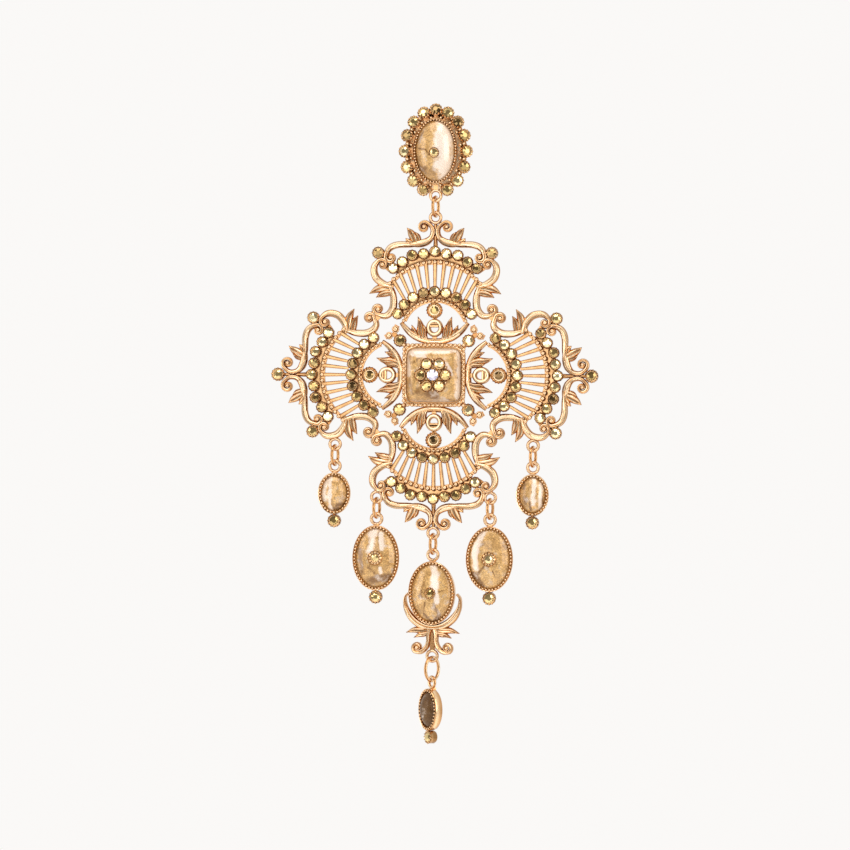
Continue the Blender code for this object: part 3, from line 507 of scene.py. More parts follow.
def sweep(route, outline, height, closed=False, taper=False):
    """Drag an outline along a route of (u, v, half width) stations; taper lowers it to its tips."""
    last = len(route) - 1
    places = []
    for i, here in enumerate(route):
        before = route[i - 1] if closed or i else here
        after = route[(i + 1) % len(route)] if closed or i < last else here
        along = Vector((after[0] - before[0], after[1] - before[1], 0.0)).normalized()
        side = Vector((-along.y, along.x, 0.0)) * here[2]
        rise = height * (1.0 - LEAF_FALL * (i / last) ** 2) if taper else height
        place = Matrix((side, Vector((0.0, 0.0, rise)), along)).transposed().to_4x4()
        place.translation = Vector((here[0], here[1], CAST_BACK))
        places.append(place)
    model = bmesh.new()
    ring = [model.verts.new((side, up, 0.0)) for side, up in outline]
    edges = [model.edges.new(pair) for pair in zip(ring, ring[1:] + ring[:1])]
    bmesh.ops.transform(model, matrix=places[0], verts=ring)
    first = list(edges)
    if not closed:
        bmesh.ops.contextual_create(model, geom=edges)
    for here, following in zip(places, places[1:]):
        grown = bmesh.ops.extrude_edge_only(model, edges=edges)["geom"]
        ring = [item for item in grown if isinstance(item, bmesh.types.BMVert)]
        edges = [item for item in grown if isinstance(item, bmesh.types.BMEdge)
                 and item.verts[0] in ring and item.verts[1] in ring]
        bmesh.ops.transform(model, matrix=following @ here.inverted(), verts=ring)
    if closed:
        bmesh.ops.bridge_loops(model, edges=first + edges)
    else:
        bmesh.ops.contextual_create(model, geom=edges)
    return keep(model)


def turned(profile, sides, closed=False):
    """Turn a profile of (radius, depth) points about the depth axis."""
    model = bmesh.new()
    verts = [model.verts.new((radius, 0.0, depth)) for radius, depth in profile]
    edges = [model.edges.new(pair) for pair in zip(verts, verts[1:])]
    if closed:
        edges.append(model.edges.new((verts[-1], verts[0])))
    bmesh.ops.spin(model, geom=verts + edges, cent=(0, 0, 0), axis=(0, 0, 1),
                   angle=2.0 * pi, steps=sides, use_merge=True)
    bmesh.ops.remove_doubles(model, verts=model.verts, dist=0.0005)
    return model


def stretch(model, half_u, half_v):
    """Stretch a turned shape of radius one into an oval."""
    bmesh.ops.scale(model, vec=(half_u, half_v, 1.0), verts=model.verts)


def square_off(model):
    """Push a turned shape out into a rounded square."""
    for vert in model.verts:
        radius = hypot(vert.co.x, vert.co.y)
        if radius > 0.01:
            s, c = abs(vert.co.x) / radius, abs(vert.co.y) / radius
            reach = (s ** SQUARE_POWER + c ** SQUARE_POWER) ** (-1.0 / SQUARE_POWER)
            vert.co.x *= reach
            vert.co.y *= reach


def wire_ring(radius, wire=WIRE_R, sides=28, around=10):
    """A round wire ring that lies flat on the face."""
    profile = []
    for k in range(around):
        angle = 2.0 * pi * k / around
        profile.append((radius + wire * cos(angle), wire * sin(angle)))
    return keep(turned(profile, sides, closed=True))


def bead(rings=6, sides=10):
    """A small ball of radius one."""
    model = bmesh.new()
    bmesh.ops.create_uvsphere(model, u_segments=sides, v_segments=rings, radius=1.0)
    return keep(model)


def claw_cup(radius, claws, rim=CUP_RIM, back=CAST_BACK, grip=0.8, throat=0.74):
    """A fluted cup whose rim stands up in claws round its stone."""
    sides = claws * 2
    model = turned(((0.0, back), (0.8 * radius, back), (0.94 * radius, back + 0.3),
                    (0.9 * radius, rim - 0.5), (1.0 * radius, rim - 0.28),
                    (grip * radius, rim), (throat * radius, rim - 0.3), (0.0, rim - 0.35)), sides)
    step = 2.0 * pi / sides
    for vert in model.verts:
        place = round(atan2(vert.co.y, vert.co.x) / step) % 2
        far = hypot(vert.co.x, vert.co.y)
        if place and far > 0.95 * radius:
            vert.co.x *= 0.9
            vert.co.y *= 0.9
            vert.co.z -= 0.04
        if abs(vert.co.z - rim) < 0.001:
            lift = -0.34 if place else 0.07
            push = 1.12 if place else 1.0
            vert.co = Vector((vert.co.x * push, vert.co.y * push, vert.co.z + lift))
    return keep(model)


def cut_stone():
    """A faceted stone of radius one: table, bevelled crown and pointed back, girdle at depth zero."""
    model = bmesh.new()
    bmesh.ops.create_cone(model, cap_ends=True, segments=STONE_SIDES, radius1=1.0,
                          radius2=STONE_TABLE_SHARE, depth=STONE_CROWN_SHARE)
    bmesh.ops.translate(model, vec=(0.0, 0.0, STONE_CROWN_SHARE / 2), verts=model.verts)
    slants = [edge for edge in model.edges
              if abs(edge.verts[0].co.z - edge.verts[1].co.z) > STONE_CROWN_SHARE / 2]
    bmesh.ops.bevel(model, geom=slants, offset=STONE_BEVEL, segments=1, profile=0.5, affect="EDGES",
                    material=-1)
    under = [one for one in model.faces if one.normal.z < -0.9]
    grown = bmesh.ops.extrude_face_region(model, geom=under)["geom"]
    bmesh.ops.delete(model, geom=under, context="FACES_ONLY")
    ring = [item for item in grown if isinstance(item, bmesh.types.BMVert)]
    bmesh.ops.scale(model, vec=(STONE_BACK_SHARE, STONE_BACK_SHARE, 1.0), verts=ring)
    bmesh.ops.translate(model, vec=(0.0, 0.0, -STONE_BACK_DEPTH), verts=ring)
    return keep(model)


BEAD = bead()
SMALL_BEAD = bead(rings=4, sides=8)
STONE = cut_stone()
ROW_CUP = claw_cup(ROW_CUP_R, claws=11)
LOOP = wire_ring(LOOP_R)


def finish_piece(name, model, place, material, body, nodes, edge=METAL_EDGE, level=0.0):
    """Put a model in the world as a named piece that rides on a body; its relief, which the gold finishes
    turn into painted shade, counts from the level.
    """
    bmesh.ops.recalc_face_normals(model, faces=model.faces)
    model.normal_update()
    # relief (height) and slope carry painted shade and painted highlight into the finishes
    relief = model.verts.layers.float.new("relief")
    slope = model.verts.layers.float.new("slope")
    for vert in model.verts:
        vert[relief] = vert.co.z - level
        vert[slope] = 1.0 - max(0.0, vert.normal.z)
    bmesh.ops.transform(model, matrix=place, verts=model.verts)
    data = bpy.data.meshes.new(name)
    model.to_mesh(data)
    model.free()
    data.materials.append(material)
    data.shade_smooth()
    data.set_sharp_from_angle(angle=radians(edge))
    piece = bpy.data.objects.new(name, data)
    bpy.context.scene.collection.objects.link(piece)
    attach(piece, body)
    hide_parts(*nodes)


def lay_stones(name, seats, place, body, nodes):
    """Cut stones in (matrix, radius) seats, each tipped a little and with its own tone."""
    model = bmesh.new()
    tones = []
    for seat, radius in seats:
        tip = Matrix.Rotation(CHANCE.uniform(-STONE_TILT, STONE_TILT), 4, "X")
        lean = Matrix.Rotation(CHANCE.uniform(-STONE_TILT, STONE_TILT), 4, "Y")
        spin = Matrix.Rotation(CHANCE.uniform(0.0, pi), 4, "Z")
        stamp(model, STONE, seat @ tip @ lean @ spin @ Matrix.Scale(radius, 4))
        tones.append(CHANCE.random())
    tone = model.verts.layers.float.new("tone")
    count = len(STONE.vertices)
    for i, vert in enumerate(model.verts):
        vert[tone] = tones[i // count]
    finish_piece(name, model, place, STONE_FINISH, body, nodes, FACET_EDGE)


def on_oval(half_u, half_v, turns):
    """The place on an oval that lies a share of a turn clockwise from its top."""
    angle = 2.0 * pi * turns
    return half_u * sin(angle), half_v * cos(angle)


def oval_places(half_u, half_v, count):
    """Evenly spaced places along an oval."""
    fine = 720
    ring = [(half_u * sin(2.0 * pi * i / fine), half_v * cos(2.0 * pi * i / fine)) for i in range(fine + 1)]
    steps = [dist(a, b) for a, b in zip(ring, ring[1:])]
    pitch = sum(steps) / count
    places, walked, due = [], 0.0, pitch / 2
    for start, step in zip(ring, steps):
        if walked <= due < walked + step:
            places.append(start)
            due += pitch
        walked += step
    return places


def row_places(centre_v, rail_radius, rises):
    """Middles of the stones of a row."""
    radius = rail_radius + ROW_GAP
    pitch = 2.0 * asin(ROW_PITCH / radius)
    places = []
    for i, rise in enumerate(rises):
        angle = pitch * (i - (ROW_STONES - 1) / 2)
        places.append(((radius + rise) * sin(angle), centre_v + (radius + rise) * cos(angle)))
    return places


OUTER_ROW = row_places(OUTER_CENTRE, OUTER_RAIL_R, ROW_RISES)
INNER_ROW = row_places(INNER_CENTRE, INNER_RAIL_R, (0.0,) * ROW_STONES)
RAILS = (
    # middle of the arc, radius, half span, beads, radius of a bead, row of stones outside it
    (OUTER_CENTRE, OUTER_RAIL_R, OUTER_SPAN, OUTER_BEADS, OUTER_BEAD_R, OUTER_ROW),
    (INNER_CENTRE, INNER_RAIL_R, INNER_SPAN, INNER_BEADS, INNER_BEAD_R, INNER_ROW),
)


def on_arc(centre_v, radius, angle, half_w):
    """A station on an arc about (0, centre_v)."""
    return radius * sin(angle), centre_v + radius * cos(angle), half_w


def arc_route(centre_v, radius, span, half_w, count):
    """Stations of an arc, from one side to the other."""
    return [on_arc(centre_v, radius, span * (2.0 * i / count - 1.0), half_w) for i in range(count + 1)]


def tie(ends, half_w, front, mirror=1):
    """A flat strut from one place to another, which mirror -1 puts on the left."""
    start_u, start_v, end_u, end_v = ends
    route = [(mirror * start_u, start_v, half_w), (mirror * end_u, end_v, half_w)]
    return sweep(route, FLAT_OUTLINE, front - CAST_BACK)


def neck(start_v, end_v, half_w=NECK_HALF_W, front=TIE_FRONT):
    """An upright strut in the middle."""
    return tie((0.0, start_v, 0.0, end_v), half_w, front)


def leaf(root, bend, next_bend, tip, half_w):
    """A pointed leaf with a vein, curved through four places."""
    rows = []
    for place, share in ((root, 0.6), (bend, 1.0), (next_bend, 0.86), (tip, 0.08)):
        rows.append((*place, half_w * share))
    return sweep(smooth(rows, steps=4), LEAF_OUTLINE, LEAF_RISE, taper=True)


def half_arm():
    """Scrolls, leaves and ties of one side of an arm."""
    model = bmesh.new()
    for stations, centre, turns, eye in SCROLLS:
        route = smooth(stations)
        route += curl(route[-1], centre, turns)
        stamp(model, sweep(route, SCROLL_OUTLINE, SCROLL_RISE))
        stamp(model, BEAD, spot(*centre, EYE_BEAD_D, eye))
        u, v = centre
        stamp(model, sweep([(u, v - eye, eye), (u, v + eye, eye)], FLAT_OUTLINE, EYE_RISE))
    for row in LEAVES:
        stamp(model, leaf(*row))
    for ends in ARM_TIES:
        stamp(model, tie(ends, TIE_HALF_W, BED_FRONT))
    return keep(model)


def arm_cups():
    """The cups of the two rows that each arm has."""
    model = bmesh.new()
    for row in (OUTER_ROW, INNER_ROW):
        for u, v in row:
            stamp(model, ROW_CUP, spot(u, v, spin=atan2(u, v)))
    return keep(model)


def whole_arm():
    """Everything else that the four arms share."""
    model = bmesh.new()
    half = half_arm()
    stamp(model, half)
    stamp(model, half, MIRROR)
    stamp(model, sweep(smooth(both_sides(BOWL)), SCROLL_OUTLINE, BOWL_RISE))
    for centre, radius, span, beads, bead_r, row in RAILS:
        rail = arc_route(centre, radius, span, RAIL_HALF_W, count=30)
        stamp(model, sweep(rail, FLAT_OUTLINE, RAIL_RISE))
        for u, v, _ in arc_route(centre, radius + BEAD_SHIFT, span, 0.0, beads - 1):
            stamp(model, BEAD, spot(u, v, RAIL_BEAD_D, bead_r))
        last_u, last_v = row[-1]
        bed_span = atan2(last_u, last_v - centre)
        bed = arc_route(centre, radius + BED_SHIFT, bed_span, BED_HALF_W, count=24)
        stamp(model, sweep(bed, FLAT_OUTLINE, ROW_BED_RISE))
    for k in range(FAN_BARS):
        share = 2.0 * k / (FAN_BARS - 1) - 1.0
        bar = [on_arc(INNER_CENTRE, FAN_START_R, share * FAN_INNER_SPAN, FAN_START_HALF_W),
               on_arc(OUTER_CENTRE, OUTER_RAIL_R, share * FAN_OUTER_SPAN, FAN_END_HALF_W)]
        stamp(model, sweep(bar, BAR_OUTLINE, BAR_RISE))
    ring = []
    for k in range(PALMETTE_STEPS):
        u, v = on_oval(PALMETTE_R, PALMETTE_STRETCH * PALMETTE_R, k / PALMETTE_STEPS)
        ring.append((u, PALMETTE_V + v, PALMETTE_HALF_W))
    stamp(model, sweep(ring, ROUND_OUTLINE, RING_RISE, closed=True))
    for above, front in PALMETTE_RIDGES:
        ridge = [(u, PALMETTE_V + above, RIDGE_HALF_W) for u in (-RIDGE_REACH, RIDGE_REACH)]
        stamp(model, sweep(ridge, ROUND_OUTLINE, front - CAST_BACK))
    stamp(model, claw_cup(LENS_CUP_R, claws=16, grip=0.66, throat=0.6), spot(0.0, LENS_V))
    for start_v, end_v, half_w, front in PALMETTE_TIES:
        stamp(model, neck(start_v, end_v, half_w, front))
    return keep(model)


def arm_end(corner_loops, tip_loop, hanger_sides):
    """What differs from arm to arm, with the diagonal cup that follows it clockwise: casting and cups."""
    model, cups = bmesh.new(), bmesh.new()
    if tip_loop:
        stamp(model, LOOP, spot(0.0, REACH))
        stem_top = REACH - LOOP_R
    else:
        stamp(cups, claw_cup(TIP_CUP_R, claws=13), spot(0.0, REACH))
        stem_top = REACH - TIP_SEAT_R
    stamp(model, sweep([*STEM, (0.0, stem_top, STEM[-1][2])], ROUND_OUTLINE, STEM_RISE))
    for mirror in (-1, 1):
        corner = spot(mirror * CORNER[0], CORNER[1])
        if corner_loops:
            stamp(model, LOOP, corner)
            stamp(model, tie(CORNER_LOOP_TIE, LOOP_TIE_HALF_W, TIE_FRONT, mirror))
        else:
            stamp(cups, claw_cup(CORNER_CUP_R, claws=12), corner)
            stamp(model, tie((*CORNER_TIE_FOOT, *CORNER), TIE_HALF_W, BED_FRONT, mirror))
        if mirror in hanger_sides:
            stamp(model, LOOP, spot(mirror * HANGER[0], HANGER[1]))
            stamp(model, tie(HANGER_TIE, LOOP_TIE_HALF_W, TIE_FRONT, mirror))
    stamp(cups, claw_cup(DIAGONAL_CUP_R, claws=12), spot(DIAGONAL, DIAGONAL))
    for step in (-KNOB_STEP, KNOB_STEP):
        u, v = KNOB_PAIR + step, KNOB_PAIR - step
        stamp(model, BEAD, spot(u, v, KNOB_D, KNOB_R))
        stamp(model, wire_ring(KNOB_RING_R, KNOB_WIRE_R, sides=16, around=6), spot(u, v, KNOB_RING_D))
    stamp(model, tie(DIAGONAL_TIE, TIE_HALF_W, BED_FRONT))
    stamp(model, tie(NOTCH_TIE, LOOP_TIE_HALF_W, NOTCH_TIE_FRONT))
    return keep(model), keep(cups)


ARMS = (
    # name, clockwise turn, loops at the corners, loop at the tip, sides with a hanger loop
    ("top", 0.0, False, True, ()),
    ("right", 90.0, False, False, (1,)),
    ("bottom", 180.0, True, True, ()),
    ("left", 270.0, False, False, (-1,)),
)


def square_setting(model):
    """The square bezel: wall, and a groove with a row of milgrain."""
    wall = turned(SQUARE_WALL, sides=96)
    square_off(wall)
    stamp(model, keep(wall))
    for turn in range(4):
        side = Matrix.Rotation(turn * pi / 2, 4, "Z")
        for i in range(SQUARE_GRAINS):
            along = 2.0 * SQUARE_LINE * (i / SQUARE_GRAINS - 0.5)
            stamp(model, BEAD, side @ spot(along, SQUARE_LINE, SQUARE_RIM, SQUARE_GRAIN_R))


def cross_casting(centre):
    """The pierced cross: its casting, and the cups on it, darker with painted shade."""
    model, cups = bmesh.new(), bmesh.new()
    arm, row_cups = whole_arm(), arm_cups()
    for _, turn, corner_loops, tip_loop, hanger_sides in ARMS:
        spin = Matrix.Rotation(-radians(turn), 4, "Z")
        end, end_cups = arm_end(corner_loops, tip_loop, hanger_sides)
        for part, shape in ((model, arm), (model, end), (cups, row_cups), (cups, end_cups)):
            stamp(part, shape, spin)
    square_setting(model)
    place = face(*centre)
    finish_piece("cross_casting", model, place, GOLD_FINISH, "pendant", ["cross_frame"])
    finish_piece("cross_cups", cups, place, CUP_FINISH, "pendant", ["cross_frame"])


def cross_stones(centre):
    """Rows and single stones of the cross, one piece for each node."""
    rim = CUP_RIM - STONE_SINK
    for name, turn, corner_loops, tip_loop, _ in ARMS:
        place = face(*centre, spin=radians(turn))
        groups = [
            ("_outer_stones", OUTER_ROW, ROW_STONE_R),
            ("_inner_stones", INNER_ROW, ROW_STONE_R),
            ("_lens_stone", [(0.0, LENS_V)], LENS_STONE_R),
            ("_diagonal_stone", [(DIAGONAL, DIAGONAL)], DIAGONAL_STONE_R),
        ]
        if not tip_loop:
            groups.append(("_tip_stone", [(0.0, REACH)], TIP_STONE_R))
        if not corner_loops:
            groups.append(("_first_corner_stone", [(-CORNER[0], CORNER[1])], CORNER_STONE_R))
            groups.append(("_second_corner_stone", [CORNER], CORNER_STONE_R))
        for kind, spots, radius in groups:
            seats = [(spot(u, v, rim), radius) for u, v in spots]
            lay_stones(name + kind + "_cut", seats, place, "pendant", [name + kind])


def dome_profile(floor, rim, rise):
    """Profile of radius one: floor, girdle and a low dome."""
    rows = [(0.0, floor), (1.0, floor), (1.0, rim - 0.05)]
    for k in range(1, DOME_STEPS + 1):
        share = k / DOME_STEPS
        rows.append((1.0 - share, rim + rise * (1.0 - (1.0 - share) ** DOME_POWER)))
    return rows


def paint_marbling_and_reflection(model, halves, strokes):
    """Write on a dome how far each place lies inside the pale strokes, partly marbling and partly a painted
    reflection, and inside the brown strokes.
    """
    layers = [model.verts.layers.float.new(name) for name in ("pale", "brown")]
    for vert in model.verts:
        for layer, rows in zip(layers, strokes):
            best = 0.0
            for u1, v1, u2, v2, half_w, strength in rows:
                start = Vector((u1 * halves[0], v1 * halves[1]))
                line = Vector((u2 * halves[0], v2 * halves[1])) - start
                reach = vert.co.xy - start
                share = min(1.0, max(0.0, reach.dot(line) / max(line.length_squared, 0.001)))
                best = max(best, strength * (1.0 - (reach - share * line).length / half_w))
            vert[layer] = best


def cabochon(name, place, halves, floor, rim, rise, finish, body, node, strokes):
    """A smooth oval dome with its own marbling and painted reflection."""
    model = turned(dome_profile(floor, rim, rise), sides=80)
    stretch(model, *halves)
    paint_marbling_and_reflection(model, halves, strokes)
    finish_piece(name, model, place, finish, body, [node])


def centre_stones(centre):
    """The square pillow and the flower of stones on it."""
    place = face(*centre)
    model = turned(PILLOW_PROFILE, sides=128)
    stretch(model, PILLOW_HALF, PILLOW_HALF)
    square_off(model)
    paint_marbling_and_reflection(model, (PILLOW_HALF, PILLOW_HALF), SQUARE_MARBLING_AND_REFLECTION)
    finish_piece("centre_pillow", model, place, CABOCHON_FINISH, "pendant", ["centre_cabochon"])
    settings = bmesh.new()
    top = SQUARE_RIM + PILLOW_RISE
    petal_cup = claw_cup(PETAL_CUP_R, claws=10, rim=top + PETAL_RIM, back=top + FLOWER_BACK)
    seats = []
    for i in range(PETALS):
        share = (i + 0.5) / PETALS
        u, v = on_oval(FLOWER_REACH, FLOWER_REACH, share)
        stamp(settings, petal_cup, spot(u, v, spin=2.0 * pi * share))
        seats.append((spot(u, v, top + PETAL_STONE_D), PETAL_STONE_R))
        u, v = on_oval(GAP_BEAD_REACH, GAP_BEAD_REACH, (i + 1.0) / PETALS)
        stamp(settings, SMALL_BEAD, spot(u, v, top, GAP_BEAD_R))
    stamp(settings, claw_cup(HEART_CUP_R, claws=8, rim=top + HEART_RIM, back=top + FLOWER_BACK))
    finish_piece("flower_setting", settings, place, CUP_FINISH, "pendant", ["centre_flower"],
                 level=top + PETAL_RIM - CUP_RIM)
    lay_stones("flower_petals", seats, place, "pendant", ["centre_flower"])
    heart = bmesh.new()
    stamp(heart, STONE, spot(0.0, 0.0, top + HEART_STONE_D, HEART_STONE_R))
    finish_piece("flower_heart", heart, place, CLEAR_FINISH, "pendant", ["centre_flower"],
                 FACET_EDGE)


def oval_setting(model, halves, v, rim, back, wall=DROP_WALL, pitch=0.58, grain=0.2):
    """An oval bezel with a smooth outer rim and a row of milgrain inside it."""
    half_u, half_v = halves
    cut = wall / half_u
    shell = turned(((0.0, back), (0.9, back), (0.97, back + 0.25), (1.0, rim - 0.35), (0.995, rim - 0.08),
                    (0.98, rim), (1.0 - 0.38 * cut, rim - 0.06), (1.0 - 0.85 * cut, rim - 0.7),
                    (1.0 - 1.3 * cut, rim - 0.4), (1.0 - 1.3 * cut, back + 0.5), (0.0, back + 0.45)),
                   sides=72)
    stretch(shell, half_u, half_v)
    bmesh.ops.translate(shell, vec=(0.0, v, 0.0), verts=shell.verts)
    stamp(model, keep(shell))
    line_u, line_v = half_u - wall * 0.9, half_v - wall * 0.9
    count = round(pi * (line_u + line_v) * 1.01 / pitch)
    for u, w in oval_places(line_u, line_v, count):
        stamp(model, BEAD, spot(u, v + w, rim - 0.08, grain))


def collared_stone(name, node, place, v, top, radius, body):
    """A small stone in a clawed collar on a cabochon."""
    collar = bmesh.new()
    rim = top + COLLAR_RISE
    grip = COLLAR_STONE_R / radius + COLLAR_LIP
    cup = claw_cup(radius, claws=12, rim=rim, back=top - COLLAR_SINK, grip=grip, throat=grip - 0.06)
    stamp(collar, cup, spot(0.0, v))
    finish_piece(name + "_collar", collar, place, CUP_FINISH, body, [node], level=rim - CUP_RIM)
    seat = (spot(0.0, v, top + COLLAR_STONE_D), COLLAR_STONE_R)
    lay_stones(name + "_cut", [seat], place, body, [node])


def stud():
    """The stud: plate, bezel, halo, loop and post, its cabochon and its stones."""
    place = face(0.0, 0.0)
    model, cups = bmesh.new(), bmesh.new()
    plate = turned(STUD_PLATE, sides=64)
    stretch(plate, *HALO_HALF)
    stamp(model, keep(plate))
    oval_setting(model, STUD_HALF, 0.0, STUD_RIM, STUD_BACK, wall=0.32, pitch=0.5, grain=0.17)
    cup = claw_cup(HALO_CUP_R, claws=12, rim=HALO_CUP_RIM, back=HALO_CUP_BACK)
    half_u, half_v = HALO_HALF
    seats = []
    for i in range(HALO_PLACES):
        for share, size in HALO_BEADS:
            u, v = on_oval(share * half_u, share * half_v, (i + 0.5) / HALO_PLACES)
            stamp(model, SMALL_BEAD, spot(u, v, HALO_BEAD_D, size))
        if i == HALO_PLACES // 2:
            continue
        out = Vector(on_oval(half_v, half_u, i / HALO_PLACES)).normalized()
        lean = Matrix.Rotation(HALO_TILT, 4, Vector((-out.y, out.x, 0.0)))
        seat = spot(*on_oval(half_u, half_v, i / HALO_PLACES), STUD_FLOOR) @ lean
        stamp(cups, cup, seat)
        seats.append((seat @ spot(0.0, 0.0, HALO_STONE_D), HALO_STONE_R))
    stamp(model, LOOP, spot(0.0, STUD_LOOP_V))
    stamp(model, neck(-STUD_HALF[1], STUD_LOOP_V + LOOP_R))
    stamp(model, keep(turned(POST_PROFILE, sides=20)))
    for name, metal in (("stud_casting", model), ("stud_halo_cups", cups)):
        finish_piece(name, metal, place, GOLD_FINISH, "stud", ["stud_setting"], level=STUD_LEVEL)
    lay_stones("stud_halo_stones", seats, place, "stud", ["stud_setting"])
    halves = [half - STUD_DOME_GAP for half in STUD_HALF]
    cabochon("stud_dome", place, halves, STUD_DOME_FLOOR, STUD_RIM - STUD_DOME_SINK,
             STUD_RISE + STUD_DOME_SINK, CABOCHON_FINISH, "stud", "stud_cabochon", STUD_MARBLING_AND_REFLECTION)
    collared_stone("stud_middle", "stud_centre_stone", place, STUD_COLLAR_V, STUD_RIM + STUD_RISE,
                   STUD_COLLAR_R, "stud")


def jump_ring(node, body, turn=RING_TURN):
    """A smooth round link in place of a frame ring."""
    low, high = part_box(node)
    radius = (high.z - low.z) / 2 / MM - WIRE_R
    model = bmesh.new()
    stamp(model, wire_ring(radius, sides=40, around=12))
    edge_on = Matrix.Rotation(turn, 4, "Z") @ Matrix.Rotation(pi / 2, 4, "Y")
    place = Matrix.Scale(MM, 4) @ Matrix.Translation(middle(node)) @ edge_on
    finish_piece(node + "_wire", model, place, GOLD_FINISH, body, [node])


def drop_front(model, halves, centre_v):
    """Loop, neck and bezel of a drop."""
    stamp(model, LOOP)
    stamp(model, neck(-LOOP_R, centre_v + halves[1] - NECK_OVERLAP))
    oval_setting(model, halves, centre_v, DROP_RIM, CAST_BACK)


def drop_dome(prefix, node, place, halves, centre_v, finish, body, strokes):
    """The cabochon of a drop."""
    seat = [half - DOME_GAP for half in halves]
    moved = place @ Matrix.Translation((0.0, centre_v, 0.0))
    cabochon(prefix + "_dome", moved, seat, DOME_FLOOR, DROP_RIM - DOME_SINK, DROP_RISE + DOME_SINK,
             finish, body, node, strokes)


def plain_drop(prefix, x, z, halves, body, collar=False, turn=0.0):
    """An oval drop with a stone at its lower end."""
    place = face(x, z, turn=turn)
    centre_v = -(LOOP_R + DROP_NECK + halves[1])
    end_v = centre_v - halves[1] - END_CUP_R + END_SINK
    model = bmesh.new()
    drop_front(model, halves, centre_v)
    cup = bmesh.new()
    stamp(cup, claw_cup(END_CUP_R, claws=12), spot(0.0, end_v))
    finish_piece(prefix + "_casting", model, place, GOLD_FINISH, body, [prefix + "_setting"])
    finish_piece(prefix + "_end_cup", cup, place, CUP_FINISH, body, [prefix + "_setting"])
    # the tail's dome gets the finish with painted shade
    finish = TAIL_SHADED_FINISH if prefix == "tail" else CABOCHON_FINISH
    drop_dome(prefix, prefix + "_cabochon", place, halves, centre_v, finish, body, MARBLING_AND_REFLECTIONS[prefix])
    if collar:
        collared_stone(prefix + "_middle", prefix + "_centre_stone", place, centre_v,
                       DROP_RIM + DROP_RISE, WIDE_COLLAR_R, body)
    seat = (spot(0.0, end_v, CUP_RIM - STONE_SINK), END_STONE_R)
    lay_stones(prefix + "_end_cut", [seat], place, body, [prefix + "_end_stone"])


def centre_drop(x, z):
    """The large middle drop with its crescent, leaves, volutes and lower loop."""
    place = face(x, z, turn=CENTRE_TURN)
    centre_v = -(LOOP_R + DROP_NECK + CENTRE_HALF[1])
    model = bmesh.new()
    drop_front(model, CENTRE_HALF, centre_v)
    low = Matrix.Translation((0.0, centre_v, 0.0))
    half = bmesh.new()
    route = smooth(DROP_SCROLL)
    route += curl(route[-1], DROP_CURL, DROP_CURL_TURNS)
    stamp(half, sweep(route, SCROLL_OUTLINE, SCROLL_RISE))
    stamp(half, BEAD, spot(*DROP_CURL, EYE_BEAD_D, DROP_EYE_R))
    for row in DROP_LEAVES:
        stamp(half, leaf(*row))
    side = keep(half)
    stamp(model, side, low)
    stamp(model, side, low @ MIRROR)
    stamp(model, sweep(smooth(both_sides(CRESCENT)), SCROLL_OUTLINE, SCROLL_RISE), low)
    stamp(model, LOOP, low @ spot(0.0, DROP_LOOP_V))
    stamp(model, neck(SPINE_OVERLAP - CENTRE_HALF[1], DROP_LOOP_V + LOOP_R), low)
    finish_piece("centre_casting", model, place, GOLD_FINISH, "centre_drop", ["centre_setting"])
    drop_dome("centre_drop", "centre_drop_cabochon", place, CENTRE_HALF, centre_v, CABOCHON_FINISH,
              "centre_drop", MARBLING_AND_REFLECTIONS["centre"])
    collared_stone("centre_drop_middle", "centre_drop_stone", place, centre_v, DROP_RIM + DROP_RISE,
                   COLLAR_R, "centre_drop")


def set_sockets(node, values):
    """Give a node's sockets their plain values."""
    for name, value in values.items():
        node.inputs[name].default_value = value


def new_material(name, values):
    """A material with its Principled shader and that shader's plain values."""
    material = bpy.data.materials.new(name)
    material.use_nodes = True
    shader = material.node_tree.nodes["Principled BSDF"]
    set_sockets(shader, values)
    return material, material.node_tree, shader


def ramp(tree, source, stops):
    """A colour ramp on a value, with (place, colour) stops."""
    node = tree.nodes.new("ShaderNodeValToRGB")
    elements = node.color_ramp.elements
    while len(elements) < len(stops):
        elements.new(0.5)
    for element, (place, colour) in zip(elements, stops):
        element.position = place
        element.color = (*colour, 1.0)
    tree.links.new(source, node.inputs["Fac"])
    return node.outputs["Color"]


def speckle_group():
    """Shared effect: soft clouds, fine specks and their height, from Object coordinates."""
    group = bpy.data.node_groups.new("speckle", "ShaderNodeTree")
    for name, value in (("Cloud Scale", 400.0), ("Speck Scale", 4000.0)):
        socket = group.interface.new_socket(name, in_out="INPUT", socket_type="NodeSocketFloat")
        socket.default_value = value
    for name in ("Cloud", "Speck", "Height"):
        group.interface.new_socket(name, in_out="OUTPUT", socket_type="NodeSocketFloat")
    start = group.nodes.new("NodeGroupInput")
    end = group.nodes.new("NodeGroupOutput")
    where = group.nodes.new("ShaderNodeTexCoord")
    cloud = group.nodes.new("ShaderNodeTexNoise")
    set_sockets(cloud, {"Detail": 4.0, "Roughness": 0.6})
    speck = group.nodes.new("ShaderNodeTexVoronoi")
    fine = group.nodes.new("ShaderNodeTexNoise")
    set_sockets(fine, {"Detail": 2.0})
    split = group.nodes.new("ShaderNodeSeparateColor")
    for texture, socket in ((cloud, "Cloud Scale"), (speck, "Speck Scale"), (fine, "Speck Scale")):
        group.links.new(where.outputs["Object"], texture.inputs["Vector"])
        group.links.new(start.outputs[socket], texture.inputs["Scale"])
    group.links.new(speck.outputs["Color"], split.inputs["Color"])
    group.links.new(cloud.outputs["Fac"], end.inputs["Cloud"])
    group.links.new(split.outputs["Red"], end.inputs["Speck"])
    group.links.new(fine.outputs["Fac"], end.inputs["Height"])
    return group


SPECKLE = speckle_group()


def place_speckle(tree, cloud_scale, speck_scale):
    """The shared speckle with a material's own scales."""
    node = tree.nodes.new("ShaderNodeGroup")
    node.node_tree = SPECKLE
    set_sockets(node, {"Cloud Scale": cloud_scale, "Speck Scale": speck_scale})
    return node


